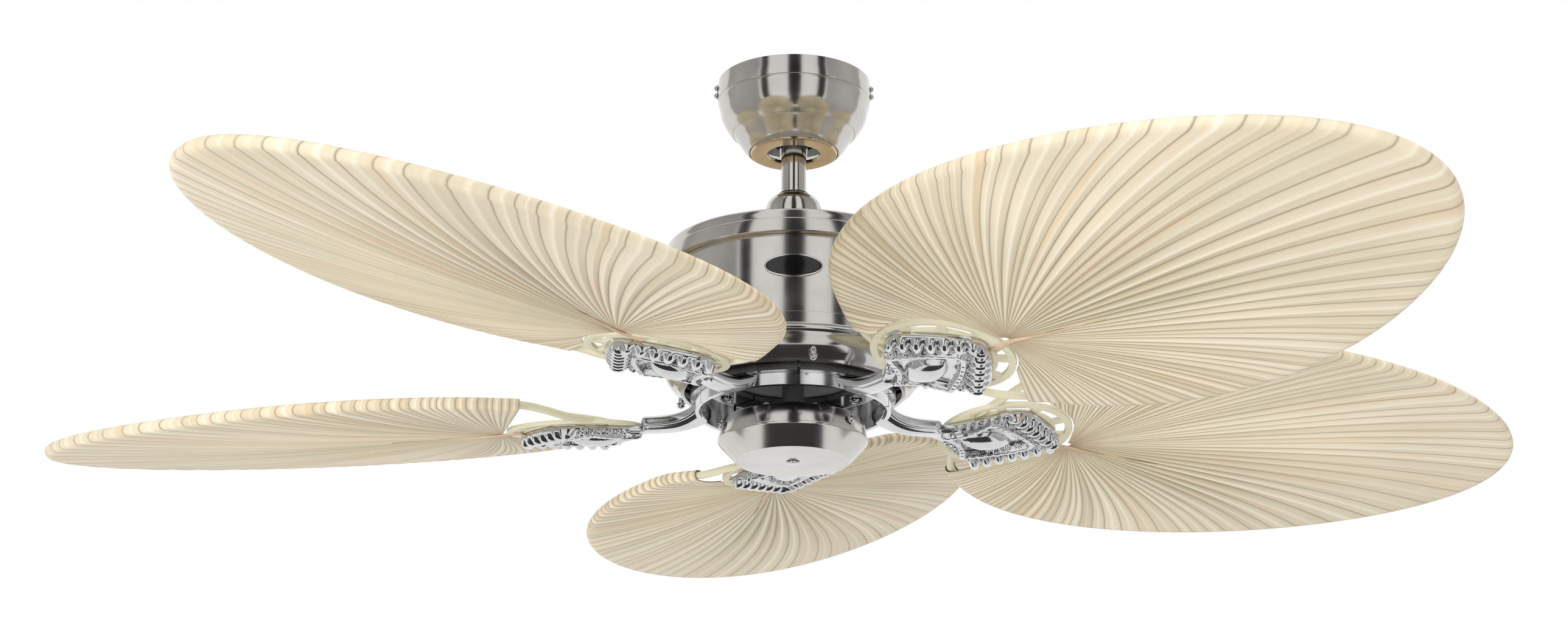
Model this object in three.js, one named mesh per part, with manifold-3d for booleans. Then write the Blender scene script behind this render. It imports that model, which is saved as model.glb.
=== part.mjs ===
// Five-blade ceiling fan with palm-leaf blades on cast blade irons.
// Millimetres, +Z up, origin on the fan's axis at the ceiling plane.
import * as THREE from 'three';
import { mergeVertices } from 'three/addons/utils/BufferGeometryUtils.js';
import Module from 'manifold-3d';

const wasm = await Module();
wasm.setup();

// ---- driving dimensions -------------------------------------------------
const GAP = 0.3;                    // working gap between separate pieces
const SEG = 20;                     // facets round a turned piece
const BLADES = 5;
const FIRST_AZIMUTH = -124.8;       // degrees, blade 1, measured from +X
// Measured departures of each blade from the even 72 degree layout, in degrees.
const AZIMUTH_TRIM = [0.5, -0.4, 0.0, -0.2, 0.15];
const PITCH = [-10.42, -11.84, -9.90, -10.89, -9.92];
const CONING = [0.45, 0.90, 1.02, 2.35, 0.40];
const BLADE_Z = -291.5;             // where the blade plane meets the axis

const TIP_R = 660;                  // half of the 1320 mm overall diameter
const ROOT_R = 144.8;                // where the leaf's outline starts, from the fan's axis
const LEAF = { u0: (TIP_R + ROOT_R) / 2, a: (TIP_R - ROOT_R) / 2, b: 177.7, k: 0.176, k2: 0.0127 };
const CAMBER_V = 6.9;               // rise of the long edges above the plane
const CAMBER_U = 6.5;               // rise of the two ends above the plane
const HASTULA = [ROOT_R + 102.2, 9]; // where every pleat of the leaf starts
const LEAF_T = 1.1;                 // leaf thickness
const PLEATS = 18;
const PLEAT_H = 2.6;
// How far round each leaf runs on its two sides, degrees from outward.
const LEAF_SPAN = [[-124, 139], [-139, 129], [-124, 139], [-139, 139], [-139, 118]];
const HOOP_R = 3.2;                 // rod of the plastic hoop
const HOOP_INSET = 5.6;             // hoop centre inside the leaf outline
const RING = { u: ROOT_R + 41.2, ro: 56, ri: 50, plate: 42, z0: 1.5, z1: 5.0 };

const BALL = { z: -38, r: 22 };
const ROD_R = 10.3;
const CANOPY = [
  [63.1, -0.3], [63.3, -16.6], [62.6, -19.8], [61.1, -26.4], [59.6, -33], [56, -39.6],
  [51.1, -45.4], [49.7, -46.6], [41.2, -59.2], [37.9, -62.5]];
const CANOPY_SCREW_Z = [-4.6, -11.4];
const DRUM_R = 100.5;
const BOWL = [
  [102.0, -235], [102.0, -245], [106.6, -247.8], [107.4, -250], [104.9, -253], [102.8, -259],
  [98.4, -265.5], [93.9, -268.6], [91.4, -271.6]];
const NUT_AZIMUTH = [-81.5, 38.5, 158.5];
const CUP_SCREW_AZIMUTH = [-41, -161, 79];
const ROTOR_R = 80;
const SHAFT_R = 9;
const IRON_RING = { ri: 50, wall: 83, skirt: 79, inner: 75.5, top: -260.3, low: -277, base: -288 };
const IRON_SCREW_R = 65;
const IRON_SCREW_DEG = 18;

// ---- materials ----------------------------------------------------------
const mat = (color, roughness, metalness) =>
  new THREE.MeshStandardMaterial({ color, roughness, metalness, side: THREE.FrontSide });
const NICKEL = mat(0xb9b4ad, 0.32, 1.0);
const CHROME = mat(0xd6d6d8, 0.10, 1.0);
const CREAM = mat(0xddd6b4, 0.55, 0.0);
const PALM = mat(0xd9c8a6, 0.78, 0.0);
const BLACK = mat(0x1d1d1f, 0.45, 0.0);
const RUBBER = mat(0x2a2a2b, 0.8, 0.0);
const STEEL = mat(0x8c8d90, 0.4, 1.0);
const COPPER = mat(0xb06a3a, 0.4, 1.0);

// ---- helpers ------------------------------------------------------------
const rad = (deg) => (deg * Math.PI) / 180;
const smooth = (a, b, x) => {
  const t = Math.min(1, Math.max(0, (x - a) / (b - a)));
  return t * t * (3 - 2 * t);
};

// Merge corners and turn the faces outward.
function closed(geometry) {
  const g = geometry.clone();
  g.deleteAttribute('normal');
  g.deleteAttribute('uv');
  const m = mergeVertices(g.index ? g : mergeVertices(g), 1e-3);
  const p = m.attributes.position, ix = Array.from(m.index.array), keep = [];
  let volume = 0;
  const A = new THREE.Vector3(), B = new THREE.Vector3(), C = new THREE.Vector3();
  for (let i = 0; i < ix.length; i += 3) {
    const [a, b, c] = [ix[i], ix[i + 1], ix[i + 2]];
    if (a === b || b === c || c === a) continue;
    keep.push(a, b, c);
    A.fromBufferAttribute(p, a); B.fromBufferAttribute(p, b); C.fromBufferAttribute(p, c);
    volume += A.dot(B.cross(C));
  }
  if (volume < 0) for (let i = 0; i < keep.length; i += 3) [keep[i], keep[i + 1]] = [keep[i + 1], keep[i]];
  m.setIndex(keep);
  return m;
}

function toSolid(geometry) {
  const g = closed(geometry);
  const mesh = new wasm.Mesh({
    numProp: 3,
    vertProperties: new Float32Array(g.attributes.position.array),
    triVerts: new Uint32Array(g.index.array),
  });
  mesh.merge();
  return new wasm.Manifold(mesh);
}

function toGeometry(solid) {
  const mesh = solid.getMesh();
  const g = new THREE.BufferGeometry();
  g.setAttribute('position', new THREE.BufferAttribute(new Float32Array(mesh.vertProperties), 3));
  g.setIndex(Array.from(mesh.triVerts));
  return g;
}

const add = (...gs) => toGeometry(gs.map(toSolid).reduce((a, b) => a.add(b)));
const cut = (g, ...tools) =>
  toGeometry(tools.map(toSolid).reduce((a, b) => a.subtract(b), toSolid(g)));
const common = (a, b) => toGeometry(toSolid(a).intersect(toSolid(b)));

// Turn a profile of [radius, z] points about Z; the profile closes on itself or on the axis.
function turned(profile, seg = SEG) {
  const pts = profile.map(([r, z]) => new THREE.Vector2(r, z));
  if (profile[0][0] > 0 || profile.at(-1)[0] > 0) pts.push(pts[0].clone());
  return closed(new THREE.LatheGeometry(pts, seg).rotateX(Math.PI / 2));
}
const tube = (ro, ri, z0, z1, seg = SEG) => turned([[ro, z0], [ro, z1], [ri, z1], [ri, z0]], seg);
const disc = (r, z0, z1, seg = SEG) => turned([[0, z0], [r, z0], [r, z1], [0, z1]], seg);
const box = (x0, x1, y0, y1, z0, z1) =>
  new THREE.BoxGeometry(x1 - x0, y1 - y0, z1 - z0)
    .translate((x0 + x1) / 2, (y0 + y1) / 2, (z0 + z1) / 2);
// A turned piece laid along +X.
const along = (profile, seg) => turned(profile, seg).rotateY(Math.PI / 2);
const rodX = (r, x0, x1, seg = 8) => along([[0, x0], [r, x0], [r, x1], [0, x1]], seg);
const turn = (g, deg) => g.clone().rotateZ(rad(deg));

// A thin turned shell: its outer profile from the top down, then its inner one from the bottom up.
const shell = (outer, inner) => turned([...outer, ...inner]);

// Extrude a 2-D shape in the XY plane between two heights.
function slab(shape, z0, z1, curveSegments = 8) {
  const g = new THREE.ExtrudeGeometry(shape, { depth: z1 - z0, bevelEnabled: false, curveSegments });
  return closed(g.translate(0, 0, z0));
}

// ---- group that carries every piece --------------------------------------
const fan = new THREE.Group();
fan.name = 'ceiling_fan';
function put(name, geometry, material, parent = fan) {
  const mesh = new THREE.Mesh(closed(geometry), material);
  mesh.name = name;
  parent.add(mesh);
  return mesh;
}

// ---- ceiling end ---------------------------------------------------------
function hangerBracket() {
  const plate = new THREE.Shape();
  plate.absarc(0, 0, 45, -0.62, 0.62, false);
  plate.lineTo(45 * Math.cos(0.62), 26.2);
  plate.absarc(0, 0, 45, Math.PI - 0.62, Math.PI + 0.62, false);
  plate.closePath();
  const top = slab(plate, -2.5, 0, 6);
  const arms = box(-60.4, 60.4, -6, 6, -2.5, 0);
  const tabs = [-1, 1].map((s) => box(s < 0 ? -60.4 : 58.2, s < 0 ? -58.2 : 60.4, -6, 6, -16, 0));
  const sides = [-1, 1].map((s) => box(s < 0 ? -30 : 27.6, s < 0 ? -27.6 : 30, -12, 12, -55, -1));
  const seat = tube(30, 17, -54.8, -52.3, 20);
  const body = add(top, arms, ...tabs, ...sides, seat);
  const holes = [];
  for (const s of [-1, 1]) {
    for (const z of CANOPY_SCREW_Z) holes.push(rodX(2.1, s * 60 - 4, s * 60 + 4, 6).translate(0, 0, z));
    holes.push(disc(2.75, -4, 1, 10).translate(s * 37, 0, 0));
  }
  return cut(body, ...holes, box(-ROD_R - 1.2, ROD_R + 1.2, 0, 40, -60, -50));
}

function canopy() {
  const inner = [[36.9, -62.5], [36.9, -60.8], [24, -60.8], [24, -59.8], [39.3, -59.6],
    [53.5, -39.9], [61.3, -20], [61.9, -0.3]];
  const holes = [];
  for (const s of [-1, 1]) {
    for (const z of CANOPY_SCREW_Z) holes.push(rodX(2.1, s * 62 - 4, s * 62 + 4, 6).translate(0, 0, z));
  }
  return cut(shell(CANOPY, inner), ...holes);
}

function canopyScrew(side, z) {
  const g = along([[0, 57.5], [1.7, 57.5], [1.7, 63.6], [3.2, 63.6], [3.2, 64.4],
    [2.5, 64.7], [2.1, 66.4], [0, 67.1]], 7);
  return g.rotateZ(side > 0 ? 0 : Math.PI).translate(0, 0, z);
}

put('hanger_bracket', hangerBracket(), STEEL);
put('canopy', canopy(), NICKEL);
put('canopy_trim_ring', turned([[34.9, -64.2], [36.5, -63.2], [36.5, -61.1], [21.8, -61.1],
  [21.8, -63.6], [22.6, -64.2]]), CHROME);
[[1, 0], [1, 1], [-1, 0], [-1, 1]].forEach(([side, row], i) =>
  put(`canopy_screw_${i + 1}`, canopyScrew(side, CANOPY_SCREW_Z[row]), CHROME));

// ---- hanging part ----------------------------------------------------------
function hangerBall() {
  const pts = [[ROD_R + GAP, BALL.z - 18.8]];
  for (let i = 0; i <= 5; i++) {
    const t = rad(-58 + i * 23.2);
    pts.push([BALL.r * Math.cos(t), BALL.z + BALL.r * Math.sin(t)]);
  }
  pts.push([ROD_R + GAP, BALL.z + 18.8]);
  return cut(turned(pts, 16), rodX(2.8, -24, 24, 6).translate(0, 0, BALL.z));
}

function downrod() {
  const pin = (z, r) => rodX(r, -14, 14, 6).translate(0, 0, z);
  return cut(tube(ROD_R, 8.4, -128, BALL.z + 19, 20), pin(BALL.z, 2.8), pin(-121, 3.0));
}

function coupling() {
  const body = turned([[24.4, -146.9], [24.4, -143.9], [16.5, -143.4],
    [16.5, -111.5], [ROD_R + GAP, -111.5], [ROD_R + GAP, -128.6], [SHAFT_R + GAP, -128.6],
    [SHAFT_R + GAP, -146.9]], 20);
  return cut(body, rodX(3.0, -20, 20, 6).translate(0, 0, -121));
}

put('hanger_ball', hangerBall(), BLACK);
put('ball_pin', rodX(2.3, -18.5, 18.5, 6).translate(0, 0, BALL.z), STEEL);
put('downrod', downrod(), NICKEL);
put('coupling', coupling(), STEEL);
put('coupling_pin', rodX(2.5, -18.6, 18.6, 6).translate(0, 0, -121), STEEL);
put('coupling_seal', turned([[13.2, -104.3], [13.2, -99.6], [11.8, -99],
  [ROD_R + GAP, -99.6], [ROD_R + GAP, -104.3]]), RUBBER);
put('coupling_cover', shell(
  [[13.9, -101.2], [16.4, -102.6], [19.3, -105], [21.8, -108.5], [23.6, -116], [24.4, -130],
    [25.6, -141], [29.4, -149.4]],
  [[27.2, -149.4], [24.2, -141], [22.6, -120], [20.2, -109.6], [13.8, -102.4]]), NICKEL);
put('motor_shaft', turned([[0, -296], [SHAFT_R, -296], [SHAFT_R, -157], [20, -157], [20, -152],
  [SHAFT_R, -152], [SHAFT_R, -129], [0, -129]], 20), STEEL);
put('stator_core', turned([[SHAFT_R + GAP, -228], [68, -228], [68, -200], [SHAFT_R + GAP, -200]]), STEEL);
put('winding_upper', tube(60, 30, -199.7, -186, 20), COPPER);
put('winding_lower', tube(60, 30, -242, -228.3, 20), COPPER);

put('housing_top_cover', turned([[107, -170.4], [106.4, -160.4], [105.3, -158.9], [104.7, -152.4],
  [102.8, -150], [14, -149.8], [14, -151.4], [102.6, -151.6], [105.3, -168.9],
  [DRUM_R + 0.4, -168.9], [DRUM_R + 0.4, -170.4]]), NICKEL);
put('housing_drum', tube(DRUM_R, DRUM_R - 1.3, -240.6, -151.9), NICKEL);

function housingBowl() {
  const inner = [[88.0, -272.2], [87.2, -270.6], [96.6, -265], [104.2, -250.2], [97, -242.6],
    [97, -241], [100.9, -241], [100.9, -235]];
  const holes = NUT_AZIMUTH.map((a) => turn(disc(2.8, -275, -255, 6).translate(98, 0, 0), a));
  return cut(shell(BOWL, inner), ...holes);
}
put('housing_bowl', housingBowl(), NICKEL);

NUT_AZIMUTH.forEach((a, i) => put(`acorn_nut_${i + 1}`, turn(turned([[0, -274], [2.1, -273.3],
  [3.3, -271.4], [3.3, -269.8], [3.9, -269.6], [3.9, -268.9], [2.3, -268.9], [2.3, -260],
  [0, -260]], 6).translate(98, 0, 0), a), CHROME));

// ---- switch housing ----------------------------------------------------------
function switchPlate() {
  const body = turned([[2.4, -326.9], [7.5, -326.9], [8.5, -300], [52, -299], [52.6, -309],
    [54.8, -309], [54.8, -295.6], [20, -294], [14, -282], [SHAFT_R + GAP, -281],
    [SHAFT_R + GAP, -296.4], [2.4, -296.4]]);
  const windows = [];
  for (let i = 0; i < 5; i++) {
    const s = new THREE.Shape();
    s.absarc(0, 0, 46, rad(-24), rad(24), false);
    s.absarc(0, 0, 24, rad(17), rad(-17), true);
    s.closePath();
    windows.push(turn(slab(s, -305, -288, 1), i * 72));
  }
  const holes = CUP_SCREW_AZIMUTH.map((a) => turn(rodX(2.0, 50, 60, 6).translate(0, 0, -304), a));
  return cut(body, ...windows, ...holes);
}
function switchCup() {
  const outer = [[57, -296.2], [60.6, -311.2], [60.4, -313], [45.4, -328.5], [2.5, -328.5]];
  const inner = [[2.5, -327.3], [44.8, -327.3], [59.2, -312.2], [55.9, -296.2]];
  const holes = CUP_SCREW_AZIMUTH.map((a) => turn(rodX(2.0, 50, 64, 6).translate(0, 0, -304), a));
  return cut(shell(outer, inner), ...holes);
}
put('switch_plate', switchPlate(), BLACK);
put('switch_cup', switchCup(), NICKEL);
CUP_SCREW_AZIMUTH.forEach((a, i) => put(`cup_screw_${i + 1}`, turn(along([[0, 53], [1.6, 53],
  [1.6, 60.4], [4.1, 60.4], [4.1, 61.1], [3.1, 61.3], [2.7, 62.9], [0, 63.6]], 6)
  .translate(0, 0, -304), a), CHROME));
put('finial_button', turned([[0, -331.1], [3.6, -330.8], [5.2, -329.9], [5.5, -328.8], [2.1, -328.8],
  [2.1, -318], [0, -318]], 12), CHROME);

// ---- rotor ----------------------------------------------------------------
const rotor = new THREE.Group();
rotor.name = 'rotor';
fan.add(rotor);

function rotorCase() {
  const body = turned([[16.4, -260], [ROTOR_R, -260], [ROTOR_R, -168], [77, -165], [16.4, -165],
    [16.4, -172], [22, -172], [22, -169], [ROTOR_R - 4, -169], [ROTOR_R - 4, -256], [22, -256],
    [22, -250], [16.4, -250]]);
  const holes = [];
  for (let i = 0; i < BLADES; i++) {
    for (const s of [-1, 1]) {
      const a = FIRST_AZIMUTH + AZIMUTH_TRIM[i] + i * 72 + s * IRON_SCREW_DEG;
      holes.push(turn(disc(2.3, -265, -252, 6).translate(IRON_SCREW_R, 0, 0), a));
    }
  }
  return cut(body, ...holes);
}
const bearing = (z) => tube(16.1, SHAFT_R + GAP, z, z + 7, 20);
put('rotor_case', rotorCase(), STEEL, rotor);
put('bearing_upper', bearing(-172), CHROME, rotor);
put('bearing_lower', bearing(-259), CHROME, rotor);

// Frame of one blade seen from its own azimuth: u outward, v sideways, w up from the blade plane.
function bladeMatrix(pitch, coning) {
  const g = rad(coning), a = rad(pitch);
  const U = new THREE.Vector3(Math.cos(g), 0, Math.sin(g));
  const W = new THREE.Vector3().crossVectors(U, new THREE.Vector3(0, Math.cos(a), Math.sin(a)));
  W.normalize();
  const V = new THREE.Vector3().crossVectors(W, U);
  return new THREE.Matrix4().makeBasis(U, V, W).setPosition(0, 0, BLADE_Z);
}
const camber = (u, v) =>
  CAMBER_V * (v / LEAF.b) ** 2 + CAMBER_U * ((u - LEAF.u0) / LEAF.a) ** 2;

// Loft a closed skin through rings of points. Each end is capped as a strip between the
// first half of its ring and the second half; a ring that meets itself needs no caps.
function loft(rings, capped = true) {
  const n = rings[0].length, pos = rings.flat(2), ix = [];
  for (let i = 0; i + 1 < rings.length; i++) {
    for (let j = 0; j < n; j++) {
      const a = i * n + j, b = i * n + ((j + 1) % n), c = a + n, d = b + n;
      ix.push(a, b, d, a, d, c);
    }
  }
  const last = (rings.length - 1) * n;
  for (let j = 0; capped && j < n / 2 - 1; j++) {
    const k = n - 1 - j;
    ix.push(j, k - 1, j + 1, j, k, k - 1);
    ix.push(last + j, last + j + 1, last + k - 1, last + j, last + k - 1, last + k);
  }
  const g = new THREE.BufferGeometry();
  g.setAttribute('position', new THREE.Float32BufferAttribute(pos, 3));
  g.setIndex(ix);
  return closed(g);
}

// ---- blade iron --------------------------------------------------------------
function ironRing() {
  const R = IRON_RING;
  const ring = turned([[R.ri, R.top - 4.2], [R.inner, R.top - 4.2], [R.inner, R.base],
    [R.skirt, R.base], [R.skirt, R.low], [R.wall, R.low], [R.wall, R.top], [R.ri, R.top]], 50);
  const wedge = new THREE.Shape([new THREE.Vector2(0, 0), new THREE.Vector2(150, -150 * Math.tan(rad(35.35))),
    new THREE.Vector2(150, 150 * Math.tan(rad(35.35)))]);
  const holes = [-1, 1].map((s) =>
    turn(disc(2.3, -270, -255, 6).translate(IRON_SCREW_R, 0, 0), s * IRON_SCREW_DEG));
  return cut(common(ring, slab(wedge, -300, -250)), ...holes);
}

// Swan neck: two rounded ridges with a groove between them on the underside.
function ironArm() {
  const stations = [[74, -279.4, 19, 8], [82, -284.2, 15.5, 6.7], [90, -286.9, 12.6, 6.6],
    [104, -288.6, 10.8, 6.5], [116, -288.5, 10.3, 6.4], [128.4, -287.8, 10.2, 6.2]];
  return loft(stations.map(([u, z, w, h]) => [[0, 1], [-0.6, 1], [-1, 0.3], [-0.9, -0.6],
    [-0.5, -1], [0, -0.5], [0.5, -1], [0.9, -0.6], [1, 0.3], [0.6, 1]]
    .map(([a, b]) => [u, a * w, z + b * h])));
}

// A low dome standing on the plate's underside.
const knob = (u, v, w, a, b, h, deg, seg = 6) =>
  turned([[0, -1], [0.72, -0.72], [1, 0], [0, 0.2]], seg)
    .scale(a, b, h).rotateZ(rad(deg)).translate(u, v, w);

// Kite-shaped plate with its relief, in the blade frame.
function ironPlate() {
  const s = new THREE.Shape();
  s.moveTo(121, -7);
  s.bezierCurveTo(140, -12, 152, -30, 170, -44);
  s.bezierCurveTo(178, -49, 186, -48, 192, -44);
  s.bezierCurveTo(206, -34, 222, -20, 230, -8);
  s.bezierCurveTo(233, -3, 233, 3, 229, 8);
  s.bezierCurveTo(220, 20, 206, 34, 192, 44);
  s.bezierCurveTo(186, 48, 178, 49, 170, 44);
  s.bezierCurveTo(152, 30, 140, 12, 121, 7);
  s.closePath();
  const plate = slab(s, -3.4, 1.2, 2);
  const root = box(121, 136, -8, 8, -9.5, 1.2);
  const boss = knob(166, 0, -3, 24, 15, 9, 0, 10);
  const bead = [];
  for (const side of [-1, 1]) {
    for (let i = 0; i < 5; i++) {
      const t = i / 4;
      const u = 179 + 47 * t, v = side * (41 - 36 * t);
      bead.push(knob(u, v, -3.4, 10.5, 6.3, 6.4, side * -38 + 90, 5));
    }
    bead.push(knob(148, side * 15, -3, 16, 4, 4.5, side * 40, 4));
  }
  return add(plate, root, boss, ...bead);
}

function bladeIron(pitch, coning) {
  return add(ironRing(), ironArm(), ironPlate().applyMatrix4(bladeMatrix(pitch, coning)));
}

// ---- rim shared by the plastic hoop and the leaf wrapped round it --------------
// Distance from the hastula to the leaf outline along one direction.
function reach(theta, inset) {
  let lo = 20, hi = 460;
  for (let i = 0; i < 40; i++) {
    const r = (lo + hi) / 2, u = HASTULA[0] + r * Math.cos(theta), v = HASTULA[1] + r * Math.sin(theta);
    const c = Math.max(-1, Math.min(1, (u - LEAF.u0) / (LEAF.a - inset)));
    const half = (LEAF.b - inset) * Math.sqrt(1 - c * c) * (1 - LEAF.k * c + LEAF.k2 * c * c);
    const inside = Math.abs(u - LEAF.u0) < LEAF.a - inset && Math.abs(v) < half;
    if (inside) lo = r; else hi = r;
  }
  return lo;
}

// One upright slice through the rim: a mapper from (outward, up) to a blade-frame point.
function rimSlice(theta) {
  const end = reach(theta, HOOP_INSET), step = 0.02;
  const slope = (reach(theta + step, HOOP_INSET) - reach(theta - step, HOOP_INSET)) / (2 * step * end);
  const stretch = Math.min(2, Math.hypot(1, slope));
  const cu = HASTULA[0] + end * Math.cos(theta), cv = HASTULA[1] + end * Math.sin(theta);
  const free = camber(cu, cv), turnIn = Math.abs(Math.PI - Math.abs(theta));
  const low = 1 - smooth(rad(34), rad(62), turnIn);
  const lift = LEAF_T + GAP + HOOP_R + (RING.z0 + 0.1 - LEAF_T - GAP - free) * low;
  const at = (dr, dw) => {
    const r = end + dr * stretch;
    return [HASTULA[0] + r * Math.cos(theta), HASTULA[1] + r * Math.sin(theta), free + lift + dw];
  };
  return { end, free, lift, at };
}

// Slice directions: even steps over the leaf, coarser steps over the bare hoop.
const leafSteps = ([from, to]) =>
  Array.from({ length: PLEATS * 2 + 1 }, (_, i) => rad(from + ((to - from) * i) / (PLEATS * 2)));
function hoopSteps([from, to]) {
  const bare = 360 - (to - from), n = Math.round(bare / 12);
  return [...leafSteps([from, to]),
    ...Array.from({ length: n - 1 }, (_, i) => rad(to + (bare * (i + 1)) / n))];
}

// ---- plastic frame -----------------------------------------------------------
function hoop(span) {
  const rings = hoopSteps(span).map((theta) => {
    const { at } = rimSlice(Math.atan2(Math.sin(theta), Math.cos(theta)));
    return [0, 1, 2, 3, 4].map((j) => {
      const a = (j / 5) * 2 * Math.PI;
      return at(HOOP_R * Math.cos(a), HOOP_R * Math.sin(a));
    });
  });
  rings.push(rings[0]);
  return loft(rings, false);
}

const arcPoints = (r, a0, a1, n) => Array.from({ length: n + 1 }, (_, i) => {
  const a = rad(a0 + ((a1 - a0) * i) / n);
  return new THREE.Vector2(RING.u + r * Math.cos(a), r * Math.sin(a));
});
function ringPlate() {
  const s = new THREE.Shape(arcPoints(RING.ro, 0, 360, 24).slice(0, -1));
  for (const [a0, a1] of [[12, 38], [46, 76], [84, 112], [120, 148]]) {
    for (const [b0, b1] of [[a0, a1], [-a1, -a0]]) {
      s.holes.push(new THREE.Path([...arcPoints(RING.ri, b0, b1, 2), ...arcPoints(RING.plate, b1, b0, 2)]));
    }
  }
  return slab(s, RING.z0, RING.z1);
}

const bladeFrame = (span) => add(hoop(span), ringPlate());

// ---- palm leaf ---------------------------------------------------------------
// Where a direction leaves the round plate of the frame.
function clear(theta) {
  const du = HASTULA[0] - RING.u, dv = HASTULA[1], R = RING.ro + 3.5;
  const b = du * Math.cos(theta) + dv * Math.sin(theta), c = du * du + dv * dv - R * R;
  return b < 0 && b * b > c ? -b + Math.sqrt(b * b - c) : 3;
}

function palmLeaf(span) {
  const R = HOOP_R + GAP + 0.25, T = R + LEAF_T, wrap = (r, deg) => [r * Math.cos(rad(deg)), r * Math.sin(rad(deg))];
  return loft(leafSteps(span).map((theta, i) => {
    const { end, free, lift, at } = rimSlice(theta);
    const start = Math.min(clear(theta), end - 12), fold = (i % 2 ? 0.5 : -0.5) * PLEAT_H;
    const web = (r, w, ramp) => {
      const u = HASTULA[0] + r * Math.cos(theta), v = HASTULA[1] + r * Math.sin(theta);
      const rise = smooth(end - 60, end, r) * (lift - LEAF_T - GAP - HOOP_R);
      return [u, v, camber(u, v) + rise + w + fold * ramp];
    };
    const mid = start + (end - start) * 0.55;
    return [web(start, 0, 0), web(mid, 0, 1), at(-1.5, -T + 0.1),
      at(...wrap(T + 0.3, -22)), at(...wrap(T + 0.3, 42)), at(...wrap(T, 112)),
      at(...wrap(R, 112)), at(...wrap(R, 52)), at(...wrap(R, -8)), at(...wrap(R, -68)),
      web(mid, LEAF_T, 1), web(start, LEAF_T, 0)];
  }));
}

for (let i = 0; i < BLADES; i++) {
  const azimuth = FIRST_AZIMUTH + AZIMUTH_TRIM[i] + i * 72;
  const blade = new THREE.Group();
  blade.name = `blade_${i + 1}`;
  blade.rotation.z = rad(azimuth);
  rotor.add(blade);
  const M = bladeMatrix(PITCH[i], CONING[i]);
  put(`blade_iron_${i + 1}`, bladeIron(PITCH[i], CONING[i]), CHROME, blade);
  put(`blade_frame_${i + 1}`, bladeFrame(LEAF_SPAN[i]).applyMatrix4(M), CREAM, blade);
  put(`palm_leaf_${i + 1}`, palmLeaf(LEAF_SPAN[i]).applyMatrix4(M), PALM, blade);
  [-1, 1].forEach((s, j) => put(`iron_screw_${i + 1}${'ab'[j]}`,
    turn(turned([[0, -268.4], [3.4, -267.6], [4.2, -266], [5.2, -264.8], [2.0, -264.8],
      [2.0, -253], [0, -253]], 6).translate(IRON_SCREW_R, 0, 0), s * IRON_SCREW_DEG), CHROME, blade));
}

export default fan;
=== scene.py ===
# %% [markdown]
# # A ceiling fan with pleated palm-leaf blades
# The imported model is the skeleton: it says where every part sits and how it moves. This lesson
# dresses it, piece by piece, in the order in which such a fan is put together, from the ceiling
# down. Lengths are in metres, and the numbers in millimetres are multiplied by MM.

import math

import bpy
import numpy as np
from mathutils import Matrix, Vector


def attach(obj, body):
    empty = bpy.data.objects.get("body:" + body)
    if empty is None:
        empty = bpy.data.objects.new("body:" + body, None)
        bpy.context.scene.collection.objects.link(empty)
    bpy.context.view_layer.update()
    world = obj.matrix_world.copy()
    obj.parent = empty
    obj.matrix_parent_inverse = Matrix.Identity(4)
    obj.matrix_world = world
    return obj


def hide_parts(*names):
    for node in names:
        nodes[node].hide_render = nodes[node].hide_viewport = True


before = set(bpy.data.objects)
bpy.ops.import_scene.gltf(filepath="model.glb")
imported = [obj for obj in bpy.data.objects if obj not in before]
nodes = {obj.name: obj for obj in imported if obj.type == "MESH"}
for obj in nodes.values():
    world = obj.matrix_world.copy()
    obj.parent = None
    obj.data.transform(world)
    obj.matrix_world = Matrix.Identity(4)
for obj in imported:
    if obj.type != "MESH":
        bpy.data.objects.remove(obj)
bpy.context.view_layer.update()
MM = 0.001
BLADES = 5

# %% [markdown]
# ## The camera
# The photograph was taken from below the fan, looking up at it. Place, lens and tilt were fitted to
# the five blade outlines. The camera is built from its three directions: a Blender camera looks
# along its own -Z, with +Y up.

# %% Camera
CAMERA_AT = Vector((-0.0245, -2.2417, -0.9653))
YAW, PITCH_UP, ROLL = math.radians(0.432), math.radians(18.733), math.radians(0.235)
LENS_MM, SENSOR_MM, CLIP_END = 66.78, 36, 60

ahead = Vector((math.sin(YAW) * math.cos(PITCH_UP), math.cos(YAW) * math.cos(PITCH_UP),
                math.sin(PITCH_UP)))
right = Vector((math.cos(YAW), -math.sin(YAW), 0))
above = right.cross(ahead)
right, above = (right * math.cos(ROLL) + above * math.sin(ROLL),
                above * math.cos(ROLL) - right * math.sin(ROLL))
bpy.ops.object.camera_add(location=CAMERA_AT)
camera = bpy.context.object
camera.rotation_euler = Matrix((right, above, -ahead)).transposed().to_euler()
camera.data.lens, camera.data.sensor_width = LENS_MM, SENSOR_MM
camera.data.clip_end = CLIP_END
bpy.context.scene.camera = camera
bpy.context.scene.view_settings.view_transform = "Standard"

# %% [markdown]
# ## Node helpers
# World, floor and finishes are node trees. Most helpers add one node, to the tree that the first
# socket belongs to, and hand back the socket that comes out, so a finish reads like a recipe.

# %% Helpers: add a node
def is_socket(source):
    return isinstance(source, bpy.types.NodeSocket)


def node(tree, kind, links=(), **settings):
    """Add a node, set its own values, then link or fill its (input, source) pairs."""
    n = tree.nodes.new(kind)
    for key, value in settings.items():
        setattr(n, key, value)
    for socket, source in links:
        if is_socket(source):
            tree.links.new(source, n.inputs[socket])
        else:
            n.inputs[socket].default_value = source
    return n


def calc(operation, a, b=0):
    tree = (a if is_socket(a) else b).id_data
    return node(tree, "ShaderNodeMath", [(0, a), (1, b)], operation=operation).outputs[0]


def times(a, b):
    return calc("MULTIPLY", a, b)


def plus(a, b):
    return calc("ADD", a, b)


def minus(a, b):
    return calc("SUBTRACT", a, b)


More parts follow.
